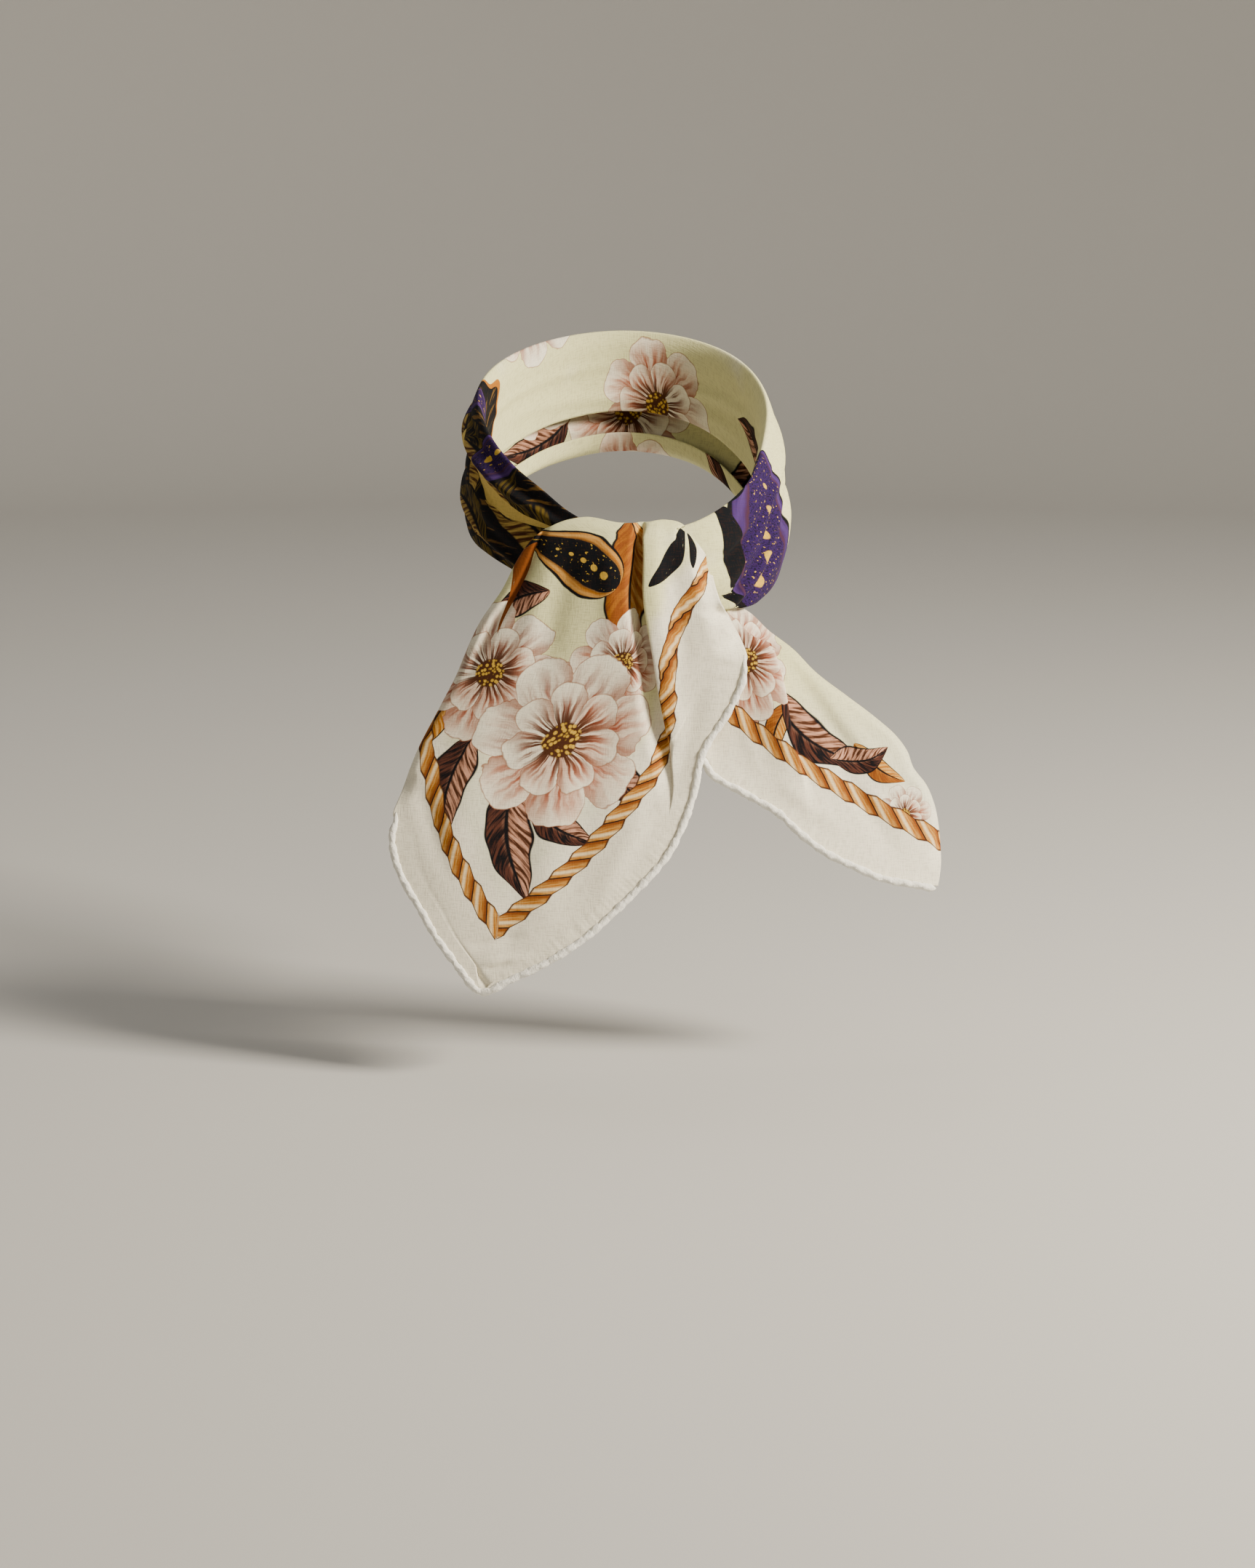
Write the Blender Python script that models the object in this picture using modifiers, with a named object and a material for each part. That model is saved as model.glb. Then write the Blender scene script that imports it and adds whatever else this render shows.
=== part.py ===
"""A small cotton neck scarf, wound once round the neck and half tied in front.

The cloth is a 550 mm square, folded along its diagonal into a soft band. The band goes once round the neck. Its
wide end rises behind the tie, rolls over the top edge and falls in front with one deep pleat. Its under end comes
out below the band and lies to the right. The form keeps the hollow of a neck and the pose of wearing, and every
stretch that shows is a solid of its own.

Lengths are in millimetres until they reach the mesh. X is to the right, -Y is the front, and Z is up. The origin is
on the axis of the neck, level with the top of the tie. An angle round the neck is in degrees from the front,
positive to the right. A drop is the distance below the top of the tie.
"""

import math

import bpy
import numpy as np

MM = 0.001

# Cloth. The wall stands for the folded layers, and the roll for the hand-rolled hem.
WALL = 1.2
SEAM_GAP = 0.3
HEM_RADIUS = 1.1
HEM_INSET = 2 * HEM_RADIUS + SEAM_GAP + 0.3

# The neck that the scarf goes round, which is not built.
NECK_HALF_WIDTH = 56.0
NECK_HALF_DEPTH = 58.0

# Edges that turn under: the length of cloth in the turn, the part of it that is bent, and the bend's angle.
TURN_LENGTH = 15.0
TURN_BENT = 8.5
TURN_ANGLE = 165.0

# The band: a row per section round the neck. Top and bottom are heights of its two folded edges, lift is how far
# its inner layer stands off the neck, belly is how far its outside stands off, crest is the drop from the top edge
# to the ridge of the upper flap, and ridge is how far that stands proud of the groove below it.
BAND_COLUMNS = ("angle", "top", "bottom", "lift", "belly", "crest", "ridge")
RIGHT_BAND = (
    (19, -2.5, -33.0, 8.0, 14.5, 10.0, 0.0),
    (26, -0.5, -34.0, 8.2, 16.0, 10.0, 0.0),
    (36, 4.0, -36.0, 8.4, 16.5, 12.0, 0.0),
    (50, 12.5, -36.5, 7.6, 15.0, 14.0, 0.0),
    (62, 20.0, -34.5, 4.2, 13.5, 16.0, 0.3),
    (75, 28.0, -31.5, 1.8, 13.0, 18.0, 0.6),
    (90, 38.0, -26.0, 1.5, 13.0, 19.0, 0.8),
    (105, 46.0, -17.0, 1.5, 12.0, 18.0, 0.7),
    (125, 55.0, -4.0, 1.5, 10.5, 16.0, 0.5),
    (150, 62.0, 9.0, 1.5, 9.0, 13.0, 0.5),
)
NAPE = (
    (150, 62.0, 9.0, 1.5, 9.0, 13.0, 0.5),
    (180, 65.0, 14.0, 1.5, 8.5, 13.0, 0.5),
    (210, 62.0, 9.0, 1.5, 9.0, 13.0, 0.5),
)
LEFT_BAND = (
    (-150, 62.0, 9.0, 1.5, 9.0, 13.0, 0.5),
    (-125, 56.0, 0.0, 1.5, 9.5, 12.0, 0.8),
    (-105, 49.5, -6.5, 1.5, 10.0, 11.0, 1.0),
    (-90, 43.5, -11.0, 1.5, 10.5, 11.0, 1.2),
    (-75, 35.5, -14.5, 1.5, 11.0, 11.0, 1.5),
    (-60, 27.0, -17.5, 1.5, 11.0, 10.5, 1.8),
    (-45, 18.5, -22.5, 2.0, 9.2, 10.0, 1.6),
    (-33, 12.0, -28.0, 2.8, 7.8, 8.5, 1.0),
    (-20, 3.0, -30.0, 3.4, 7.5, 6.0, 0.4),
    (-5, -3.5, -32.0, 3.8, 7.5, 6.0, 0.0),
    (8, -4.5, -33.0, 3.8, 7.5, 6.0, 0.0),
)
BAND_STEP = 7.0
BAND_ACROSS = 27

# The tie's top edge, a row per place across it: the share of the way from the left outline to the right one, and
# the height there. The last rows run down the fold where the wide end leaves the right side of the band.
TOP_EDGE_COLUMNS = ("across", "height")
TOP_EDGE = (
    (0.00, -11.0),
    (0.06, -6.0),
    (0.15, -1.8),
    (0.32, 1.5),
    (0.52, -0.2),
    (0.64, -0.2),
    (0.76, 0.6),
    (0.85, -1.0),
    (0.93, -6.5),
    (1.00, -14.9),
)

# The wide end: a row per level. Keep is the share of the top edge's shape that the level still has, and left and
# right are the outline.
WIDE_COLUMNS = ("drop", "keep", "left", "right")
WIDE_END = (
    (0, 1.00, -39.0, 34.8),
    (5, 0.82, -41.0, 35.0),
    (12, 0.50, -43.0, 35.4),
    (25, 0.20, -48.0, 37.8),
    (40, 0.00, -56.8, 43.4),
    (55, 0.00, -63.8, 50.0),
    (58, 0.00, -65.0, 49.8),
    (73, 0.00, -72.6, 43.8),
    (90, 0.00, -81.6, 33.0),
    (105, 0.00, -87.5, 29.4),
    (118, 0.00, -92.6, 24.6),
    (130, 0.00, -91.9, 17.6),
    (140, 0.00, -87.8, 8.2),
    (150, 0.00, -81.2, -2.5),
    (160, 0.00, -75.0, -14.5),
    (170, 0.00, -67.0, -31.0),
    (177, 0.00, -61.3, -45.6),
    (183, 0.00, -56.4, -55.6),
)

# The ovals that the tie and the wide end bend round, a row per drop.
OVAL_COLUMNS = ("drop", "half_width", "half_depth")
HANG = (
    (-2, 64, 64.0),
    (0, 68, 67.5),
    (4, 72, 71.5),
    (12, 78, 75.5),
    (25, 92, 78.5),
    (40, 115, 80.5),
    (57, 150, 81.7),
    (73, 175, 83.0),
    (90, 190, 86.5),
    (105, 200, 92.0),
    (120, 205, 97.7),
    (150, 212, 109.0),
    (184, 215, 122.0),
)
TIE_DROP = 27.0
TIP_DROP = 178.2
LEFT_HEM_DROP = 118.0
RIGHT_HEM_DROP = 57.0

# The pleat between the two panels of the wide end, a row per level: its place, depth and half width.
PLEAT_COLUMNS = ("drop", "place", "deep", "wide")
PLEAT = (
    (0, 8.6, 1.0, 3.0),
    (5, 8.8, 3.8, 3.4),
    (12, 9.0, 5.8, 3.8),
    (26, 8.8, 6.5, 4.0),
    (50, 12.8, 5.5, 4.4),
    (78, 17.4, 2.4, 5.2),
    (90, 19.0, 0.7, 5.6),
    (99, 20.0, 0.0, 6.0),
)

# The rolled fold along the upper left edge, as a soft trough just inside it.
EDGE_FOLD_COLUMNS = ("drop", "inside", "deep", "wide")
EDGE_FOLD = (
    (0, 6.5, 0.8, 2.6),
    (25, 6.0, 1.3, 2.6),
    (36, 5.0, 0.8, 2.6),
    (44, 4.0, 0.0, 2.6),
)

# The stretch that rises behind the tie: its sides, its distance off the neck, the height of its roll and its leg.
RISER_LEFT = -15.0
RISER_RIGHT = 15.5
RISER_OFF_NECK = 1.2
RISER_ROUND = 4.0
RISER_LEG = 9.0

# The body below the neck, as ovals, a row per height. It only guides how the under end lies.
FIGURE = (
    (-20, 56, 58.0),
    (22, 56, 58.0),
    (35, 64, 59.5),
    (45, 78, 62.0),
    (60, 120, 68.0),
    (80, 175, 76.0),
    (120, 205, 92.0),
    (150, 210, 104.0),
    (200, 215, 124.0),
)

# The under end: a row per level, from where it leaves the band inside the tie.
UNDER_COLUMNS = ("drop", "left", "right", "stand_off")
UNDER_END = (
    (14, 15.5, 33.0, 3.6),
    (24, 14.0, 40.0, 3.4),
    (36, 12.0, 46.4, 2.6),
    (40, 11.6, 51.8, 2.2),
    (47, 11.0, 59.0, 1.8),
    (54, 10.4, 68.4, 1.8),
    (63, 9.8, 78.0, 1.8),
    (72, 9.2, 90.4, 1.8),
    (80, 10.0, 101.4, 1.8),
    (87, 19.5, 109.6, 1.6),
    (93, 29.0, 114.2, 1.5),
    (100, 34.6, 117.0, 1.4),
    (106, 45.4, 121.7, 1.6),
    (114, 60.0, 125.2, 1.8),
    (122, 69.2, 126.8, 2.0),
    (130, 80.0, 127.4, 2.4),
    (136, 92.0, 127.2, 2.8),
    (140, 101.0, 126.6, 3.2),
    (143, 113.0, 126.0, 3.5),
    (146, 124.2, 125.3, 3.8),
)
UNDER_TOP_DROP = 14.0
UNDER_HEM_DROP = 80.0
UNDER_TIP_DROP = 143.2

# The fold down the under end: the part left of it lies on top and ends in a steep edge.
UNDER_FOLD_COLUMNS = ("drop", "place", "high", "wide")
UNDER_FOLD = (
    (14, 28.0, 0.4, 16.0),
    (36, 45.0, 1.4, 18.0),
    (46, 54.0, 3.0, 20.0),
    (64, 61.4, 4.2, 22.0),
    (84, 65.0, 3.2, 22.0),
    (100, 70.0, 0.8, 20.0),
    (112, 72.0, 0.0, 20.0),
)

WHITE = (0.84, 0.83, 0.80)
CREAM = (0.80, 0.79, 0.60)
OCHRE = (0.46, 0.24, 0.08)
UMBER = (0.10, 0.06, 0.05)
VIOLET = (0.16, 0.12, 0.25)
ROSE = (0.62, 0.47, 0.42)


def column(table, names, wanted, places):
    """One named column of a table as a smooth curve, read at the given places of the table's first column."""
    rows = np.array(table, float)
    knots, values = rows[:, 0], rows[:, names.index(wanted)]
    places = np.clip(np.asarray(places, float), knots[0], knots[-1])
    slopes = np.gradient(values, knots)
    i = np.clip(np.searchsorted(knots, places, side="right") - 1, 0, len(knots) - 2)
    step = knots[i + 1] - knots[i]
    t = (places - knots[i]) / step
    rise = t * t * (3 - 2 * t)
    return (
        values[i] * (1 - rise)
        + values[i + 1] * rise
        + slopes[i] * step * t * (1 - t) ** 2
        - slopes[i + 1] * step * t * t * (1 - t)
    )


def ramp(value, low, high):
    """0 below low, 1 above high, and a smooth rise between."""
    t = np.clip((value - low) / (high - low), 0.0, 1.0)
    return t * t * (3 - 2 * t)


def oval_front(x, half_width, half_depth):
    """Y of the front of an oval at x."""
    return -half_depth * np.sqrt(np.maximum(0.02, 1 - (x / half_width) ** 2))


def on_oval(table, x, drop, stand_off):
    """Y on the front of the oval that a table gives for each drop."""
    half_width = column(table, OVAL_COLUMNS, "half_width", drop) + stand_off
    half_depth = column(table, OVAL_COLUMNS, "half_depth", drop) + stand_off
    return oval_front(x, half_width, half_depth)


def around_neck(angle, out, height):
    """The point at an angle round the neck, a distance off it."""
    turn = np.radians(angle)
    return np.stack(
        np.broadcast_arrays(
            (NECK_HALF_WIDTH + out) * np.sin(turn),
            -(NECK_HALF_DEPTH + out) * np.cos(turn),
            height,
        ),
        axis=-1,
    )


def band_section(row, count):
    """The band's section, from the end of its inner layer over the top edge and round to its tucked-in lower end."""
    top, bottom, lift, belly, crest, ridge = row
    tall, thick = top - bottom, belly - lift
    points = np.array(
        (
            (lift, bottom + 0.34 * tall),
            (lift, bottom + 0.65 * tall),
            (lift + 0.1, top - 3.0),
            (lift + 1.6, top),
            (lift + 0.50 * thick, top - 0.45 * crest),
            (lift + 0.80 * thick, top - crest),
            (lift + 0.78 * thick - ridge, top - crest - 4.0),
            (belly, bottom + 0.34 * tall),
            (belly - 0.20 * thick, bottom + 0.12 * tall),
            (lift + 0.50 * thick, bottom),
            (lift + 1.2, bottom + 1.6),
            (lift + 0.4, bottom + 0.16 * tall),
        )
    )
    along = np.concatenate([[0], np.cumsum(np.linalg.norm(np.diff(points, axis=0), axis=1))])
    wanted = np.linspace(0, along[-1], count)
    table = np.column_stack([along, points])
    names = ("along", "out", "height")
    return column(table, names, "out", wanted), column(table, names, "height", wanted)


def band_grid(table):
    """Rows round the neck by columns across the section."""
    first, last = table[0][0], table[-1][0]
    angles = np.linspace(first, last, round((last - first) / BAND_STEP) + 1)
    clear = math.degrees(SEAM_GAP / 2 / NECK_HALF_WIDTH)
    angles[0] += clear
    angles[-1] -= clear
    rows = []
    for angle in angles:
        values = [float(column(table, BAND_COLUMNS, name, angle)) for name in BAND_COLUMNS[1:]]
        out, height = band_section(values, BAND_ACROSS)
        rows.append(around_neck(angle, out, height))
    return np.array(rows)


def turned_edge(length, bend):
    """Distance in from an edge and distance behind the face, for points along an edge that turns under.

    The bend is 1 for a full turn and 0 for a flat edge. The points run from the free end to the face.
    """
    turned = math.radians(TURN_ANGLE) * bend
    bent = TURN_BENT * length / TURN_LENGTH
    inside, behind = [], []
    for from_face in np.linspace(length, 0, 8):
        in_bend = min(from_face, bent)
        past = max(0.0, from_face - bent)
        angle = turned * in_bend / bent
        if turned > 1e-3:
            radius = bent / turned
            x, y = radius * math.sin(angle), radius * (1 - math.cos(angle))
        else:
            x, y = in_bend, 0.0
        inside.append(-(x + past * math.cos(angle)))
        behind.append(y + past * math.sin(angle))
    inside = np.array(inside)
    return inside - inside.min(), np.array(behind)


def inset(table, names, drops, side, start):
    """The outline at one side, moved in from where the hem starts to leave room for the rolled hem."""
    edge = column(table, names, side, drops)
    slope = (column(table, names, side, drops + 1.0) - column(table, names, side, drops - 1.0)) / 2.0
    room = HEM_INSET * np.sqrt(1 + slope**2) * ramp(drops, start - 5.0, start + 1.0)
    return edge + room * (1 if side == "left" else -1)


def face_columns(start, end, fold, wide, before, after):
    """Places across a face, closer together where a fold runs down it."""
    share = min(max((fold - start) / (end - start), 0.12), 0.93)
    fold = start + share * (end - start)
    reach = min(2.4 * wide, 0.8 * (fold - start), 0.8 * (end - fold))
    near = fold + reach * np.array((-1.0, -0.66, -0.44, -0.29, -0.15, 0.0, 0.15, 0.29, 0.44, 0.66, 1.0))
    return np.concatenate(
        [
            np.linspace(start, near[0], before + 2)[1:-1],
            near,
            np.linspace(near[-1], end, after + 2)[1:-1],
        ]
    )


def trough(x, place, deep, wide):
    """A soft groove."""
    return deep * np.exp(-(((x - place) / wide) ** 2))


def wide_row(drop, fine=1):
    """One level of the wide end."""
    read = {name: float(column(WIDE_END, WIDE_COLUMNS, name, drop)) for name in WIDE_COLUMNS[1:]}
    left = float(inset(WIDE_END, WIDE_COLUMNS, drop, "left", LEFT_HEM_DROP))
    right = float(inset(WIDE_END, WIDE_COLUMNS, drop, "right", RIGHT_HEM_DROP))
    grown = 0.5 + 0.5 * float(ramp(drop, 8, 45)) - 0.6 * float(ramp(drop, LEFT_HEM_DROP - 50, LEFT_HEM_DROP - 4))
    length = min(TURN_LENGTH * grown, 0.22 * (right - left))
    left_bend = 1 - float(ramp(drop, LEFT_HEM_DROP - 36, LEFT_HEM_DROP - 3))
    right_bend = 0.5 * float(ramp(drop, 29, 42)) * (1 - float(ramp(drop, 42, RIGHT_HEM_DROP - 3)))
    in_left, behind_left = turned_edge(length, left_bend)
    in_right, behind_right = turned_edge(length, right_bend)
    place, deep, wide = [float(column(PLEAT, PLEAT_COLUMNS, name, drop)) for name in PLEAT_COLUMNS[1:]]
    middle = face_columns(left + in_left[-1], right - in_right[-1], place, wide, 14 * fine, 5 * fine)
    inside, groove, broad = [
        float(column(EDGE_FOLD, EDGE_FOLD_COLUMNS, name, drop)) for name in EDGE_FOLD_COLUMNS[1:]
    ]
    sunk = trough(middle, place, deep, wide) + trough(middle, left + inside, groove, broad)
    x = np.concatenate([left + in_left, middle, right - in_right[::-1]])
    behind = np.concatenate([behind_left, sunk, behind_right[::-1]])
    across = (x - left) / (right - left)
    height = read["keep"] * column(TOP_EDGE, TOP_EDGE_COLUMNS, "height", across) - drop
    y = on_oval(HANG, x, -height, 0.0) + behind
    return np.stack([x, y, height], axis=-1)


def wide_grid(first, last, rows):
    """Levels of the wide end from one drop to another."""
    return np.array([wide_row(drop) for drop in np.linspace(first, last, rows)])


def riser_grid():
    """The stretch that comes up between band and neck and meets the tie's front at the top edge."""
    x, front, height = np.moveaxis(wide_row(0.0), -1, 0)
    shown = (x > RISER_LEFT) & (x < RISER_RIGHT)
    x, front, height = x[shown], front[shown] + WALL / 2 + SEAM_GAP, height[shown]
    back = oval_front(x, NECK_HALF_WIDTH + RISER_OFF_NECK, NECK_HALF_DEPTH + RISER_OFF_NECK)
    rows = []
    for turn in np.radians(np.linspace(0, 90, 6)):
        y = front + (back - front) * np.sin(turn)
        rows.append(np.stack([x, y, height - RISER_ROUND * (1 - np.cos(turn))], axis=-1))
    for leg in np.linspace(RISER_LEG / 3, RISER_LEG, 3):
        rows.append(rows[5] - np.array((0, 0, leg)))
    return np.array(rows)


def under_row(drop):
    """One level of the under end."""
    read = {name: float(column(UNDER_END, UNDER_COLUMNS, name, drop)) for name in UNDER_COLUMNS[1:]}
    left = float(inset(UNDER_END, UNDER_COLUMNS, drop, "left", UNDER_HEM_DROP))
    right = read["right"]
    length = min(8.0, 0.2 * (right - left))
    right_bend = 0.5 * float(ramp(drop, 40, 60)) * (1 - float(ramp(drop, 122, 140)))
    turn_in, turn_behind = turned_edge(length, right_bend)
    place, high, wide = [
        float(column(UNDER_FOLD, UNDER_FOLD_COLUMNS, name, drop)) for name in UNDER_FOLD_COLUMNS[1:]
    ]
    face = face_columns(left, right - turn_in[-1], place + 2.5, 4.0, 5, 6)
    raised = high * ramp(face, place - wide, place) * (1 - ramp(face, place, place + 5.0))
    x = np.concatenate([[left], face, right - turn_in[::-1]])
    behind = np.concatenate([[0.0], -raised, turn_behind[::-1]])
    y = on_oval(FIGURE, x, drop, read["stand_off"]) + behind
    return np.stack([x, y, np.full(len(x), -drop)], axis=-1)


def under_grid(rows):
    """Levels of the under end, down to its corner."""
    return np.array([under_row(drop) for drop in np.linspace(UNDER_TOP_DROP, UNDER_TIP_DROP, rows)])


def hem_path(edge, inner):
    """The middle of a rolled hem that runs just outside an edge, given the edge and the points inside it.

    The hem starts halfway between the first two points.
    """
    edge, inner = edge.copy(), inner.copy()
    edge[0], inner[0] = (edge[0] + edge[1]) / 2, (inner[0] + inner[1]) / 2
    along = np.gradient(edge, axis=0)
    along /= np.linalg.norm(along, axis=1, keepdims=True)
    out = edge - inner
    out -= along * np.sum(out * along, axis=1, keepdims=True)
    out /= np.linalg.norm(out, axis=1, keepdims=True)
    return edge + out * (HEM_RADIUS + SEAM_GAP + 0.1)


def wide_hem_path(grid):
    """Down the left edge of the wide end, round its corner and up the right edge."""
    drops = -grid[:, grid.shape[1] // 2, 2]
    left, right = drops > LEFT_HEM_DROP - 8, drops > RIGHT_HEM_DROP - 7
    down = hem_path(grid[left, 0], grid[left, 1])
    up = hem_path(grid[right, -1], grid[right, -2])[::-1]
    corner = (down[-1] + up[0]) / 2 + np.array((0, -0.3, -1.6))
    return np.concatenate([down, [corner], up])


def under_hem_path(grid):
    """Along the lower edge of the under end to its corner."""
    lower = -grid[:, 0, 2] > UNDER_HEM_DROP - 6
    path = hem_path(grid[lower, 0], grid[lower, 1])
    return np.concatenate([path, [path[-1] + np.array((1.5, 0.2, -0.3))]])


def clear_scene():
    for obj in list(bpy.data.objects):
        bpy.data.objects.remove(obj, do_unlink=True)


def material(name, colour, roughness):
    made = bpy.data.materials.new(name)
    made.use_nodes = True
    shader = made.node_tree.nodes["Principled BSDF"]
    shader.inputs["Base Color"].default_value = (*colour, 1.0)
    shader.inputs["Roughness"].default_value = roughness
    shader.inputs["Metallic"].default_value = 0.0
    made.diffuse_color = (*colour, 1.0)
    return made


def cloth(name, grid, colour, holder):
    """A sheet through a grid of points, thickened to a wall."""
    rows, columns = grid.shape[:2]
    faces = [
        (r * columns + c, r * columns + c + 1, (r + 1) * columns + c + 1, (r + 1) * columns + c)
        for r in range(rows - 1)
        for c in range(columns - 1)
    ]
    mesh = bpy.data.meshes.new(name)
    mesh.from_pydata((grid.reshape(-1, 3) * MM).tolist(), [], faces)
    mesh.update()
    obj = bpy.data.objects.new(name, mesh)
    mesh.materials.append(material(name + "_cloth", colour, 0.85))
    holder.objects.link(obj)
    wall = obj.modifiers.new("wall", "SOLIDIFY")
    wall.thickness = WALL * MM
    wall.offset = 0.0
    return obj


def hem(name, path, holder):
    """A rolled hem as a round cord of cloth along a path."""
    curve = bpy.data.curves.new(name, "CURVE")
    curve.dimensions = "3D"
    curve.bevel_depth = HEM_RADIUS * MM
    curve.bevel_resolution = 2
    curve.use_fill_caps = True
    line = curve.splines.new("POLY")
    line.points.add(len(path) - 1)
    for point, place in zip(line.points, path):
        point.co = (*(place * MM), 1.0)
    obj = bpy.data.objects.new(name, curve)
    curve.materials.append(material(name + "_cloth", WHITE, 0.9))
    holder.objects.link(obj)
    return obj


def build():
    clear_scene()
    scarf = bpy.data.collections.new("neck_scarf")
    bpy.context.scene.collection.children.link(scarf)

    # The band round the neck
    cloth("right_band", band_grid(RIGHT_BAND), VIOLET, scarf)
    cloth("nape_band", band_grid(NAPE), CREAM, scarf)
    cloth("left_band", band_grid(LEFT_BAND), UMBER, scarf)

    # The tie and the wide end that falls from it
    wide_end = wide_grid(TIE_DROP + 1.3 * SEAM_GAP, TIP_DROP, 31)
    cloth("tie_front", wide_grid(0.0, TIE_DROP, 9), OCHRE, scarf)
    cloth("tie_riser", riser_grid(), CREAM, scarf)
    cloth("wide_end", wide_end, ROSE, scarf)
    hem("wide_end_hem", wide_hem_path(wide_end), scarf)

    # The end that comes out below
    under_end = under_grid(27)
    cloth("under_end", under_end, CREAM, scarf)
    hem("under_end_hem", under_hem_path(under_end), scarf)


build()
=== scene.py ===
"""A small printed cotton scarf, wound once round the neck and half tied in front, in a plain studio.

Lengths are in millimetres until they reach a mesh or a light. X is to the right, -Y is the front, and Z
is up. The origin is on the axis of the neck, level with the top of the tie. An angle round the neck is in
degrees from the front, and grows to the right and on round the back. A drop is the distance below the top
of the tie. The print lies in a flat chart, whose u runs to the right and v down the cloth.
"""

import math
from functools import partialmethod

import bpy
import numpy as np
from mathutils.bvhtree import BVHTree
from mathutils.noise import noise
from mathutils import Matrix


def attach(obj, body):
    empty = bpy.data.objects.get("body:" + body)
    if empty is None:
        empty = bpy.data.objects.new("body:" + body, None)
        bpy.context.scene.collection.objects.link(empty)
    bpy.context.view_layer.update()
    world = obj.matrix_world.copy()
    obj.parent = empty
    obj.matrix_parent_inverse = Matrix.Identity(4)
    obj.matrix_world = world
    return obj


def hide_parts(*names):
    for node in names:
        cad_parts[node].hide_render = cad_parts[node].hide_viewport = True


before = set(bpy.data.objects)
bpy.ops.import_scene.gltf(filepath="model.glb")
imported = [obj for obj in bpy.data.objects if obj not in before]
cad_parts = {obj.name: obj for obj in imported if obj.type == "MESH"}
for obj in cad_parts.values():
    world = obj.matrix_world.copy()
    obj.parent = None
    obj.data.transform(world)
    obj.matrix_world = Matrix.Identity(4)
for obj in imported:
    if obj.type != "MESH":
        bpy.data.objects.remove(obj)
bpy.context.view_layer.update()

MM = 0.001
TAU = 2 * math.pi


class Table:
    """Rows of numbers under named columns, read as smooth curves over the first column."""

    def __init__(self, names, *rows):
        self.names = names.split()
        self.rows = np.array(rows, float)

    def column(self, wanted, places):
        """One named column, at places of the first one."""
        knots, values = self.rows[:, 0], self.rows[:, self.names.index(wanted)]
        places = np.clip(np.asarray(places, float), knots[0], knots[-1])
        slopes = np.gradient(values, knots)
        i = np.clip(np.searchsorted(knots, places, side="right") - 1, 0, len(knots) - 2)
        step = knots[i + 1] - knots[i]
        t = (places - knots[i]) / step
        rise = t * t * (3 - 2 * t)
        return (
            values[i] * (1 - rise)
            + values[i + 1] * rise
            + slopes[i] * step * t * (1 - t) ** 2
            - slopes[i + 1] * step * t * t * (1 - t)
        )

    def row(self, place):
        """All the columns but the first, at one place."""
        return [float(self.column(name, place)) for name in self.names[1:]]


# Cloth. The solids stand for folded layers, and the sheet here is one thin layer on their middle surface.
CLOTH_THICK = 0.45

# The rolled hem: the room that the sheet leaves for it, the groove beside it, and its stitches. The corner is
# how far the tip of the wide end's hem lies past the cloth.
HEM_RADIUS = 1.5
HEM_INSET = 2.5
HEM_GROOVE_DEEP = 1.5
HEM_GROOVE_WIDE = 1.9
HEM_STEP = 0.55
HEM_AROUND = 20
HEM_CORNER = (0, -0.3, -2.4)
STITCH_APART = 4.2
STITCH_DEEP = 0.13

# The painted rope, in metres as in the chart: its middle's distance from the hem, half width and pitch.
ROPE_FROM_HEM = 0.0215
ROPE_HALF_WIDTH = 0.004
ROPE_PITCH = 0.0115

# The neck that the scarf goes round, which is not built.
NECK_HALF_WIDTH = 56.0
NECK_HALF_DEPTH = 58.0
NECK_ARC = 66.0

# Edges that turn under: the length of cloth in the turn, the part of it that bends, and its angle.
TURN_LENGTH = 15.0
TURN_BENT = 8.5
TURN_ANGLE = 165.0
TURN_POINTS = 16

# The band, from the right of the tie round the neck to behind the tie. Top and bottom are heights of its
# folded edges, lift is how far its inner layer stands off the neck, belly is how far its outside does,
# crest is the drop from the top edge to the ridge of the upper flap, and ridge is how far that stands proud
# of the groove below it.
BAND = Table(
    "angle top bottom lift belly crest ridge",
    (19, -2.5, -33, 8, 14.5, 10, 0),
    (26, -0.5, -34, 8.2, 16, 10, 0),
    (36, 4, -36, 8.4, 16.5, 12, 0),
    (50, 12.5, -36.5, 7.6, 15, 14, 0),
    (62, 20, -34.5, 4.2, 13.5, 16, 0.3),
    (75, 28, -31.5, 1.8, 13, 18, 0.6),
    (90, 38, -26, 1.5, 13, 19, 0.8),
    (105, 46, -17, 1.5, 12, 18, 0.7),
    (125, 55, -4, 1.5, 10.5, 16, 0.5),
    (150, 62, 9, 1.5, 9, 13, 0.5),
    (180, 65, 14, 1.5, 8.5, 13, 0.5),
    (210, 62, 9, 1.5, 9, 13, 0.5),
    (235, 56, 0, 1.5, 9.5, 12, 0.8),
    (255, 49.5, -6.5, 1.5, 10, 11, 1),
    (270, 43.5, -11, 1.5, 10.5, 11, 1.2),
    (285, 35.5, -14.5, 1.5, 11, 11, 1.5),
    (300, 27, -17.5, 1.5, 11, 10.5, 1.8),
    (315, 18.5, -22.5, 2, 9.2, 10, 1.6),
    (327, 12, -28, 2.8, 7.8, 8.5, 1),
    (340, 3, -30, 3.4, 7.5, 6, 0.4),
    (355, -3.5, -32, 3.8, 7.5, 6, 0),
    (368, -4.5, -33, 3.8, 7.5, 6, 0),
)
BAND_STEP = 1.25
BAND_ACROSS = 110

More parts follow.
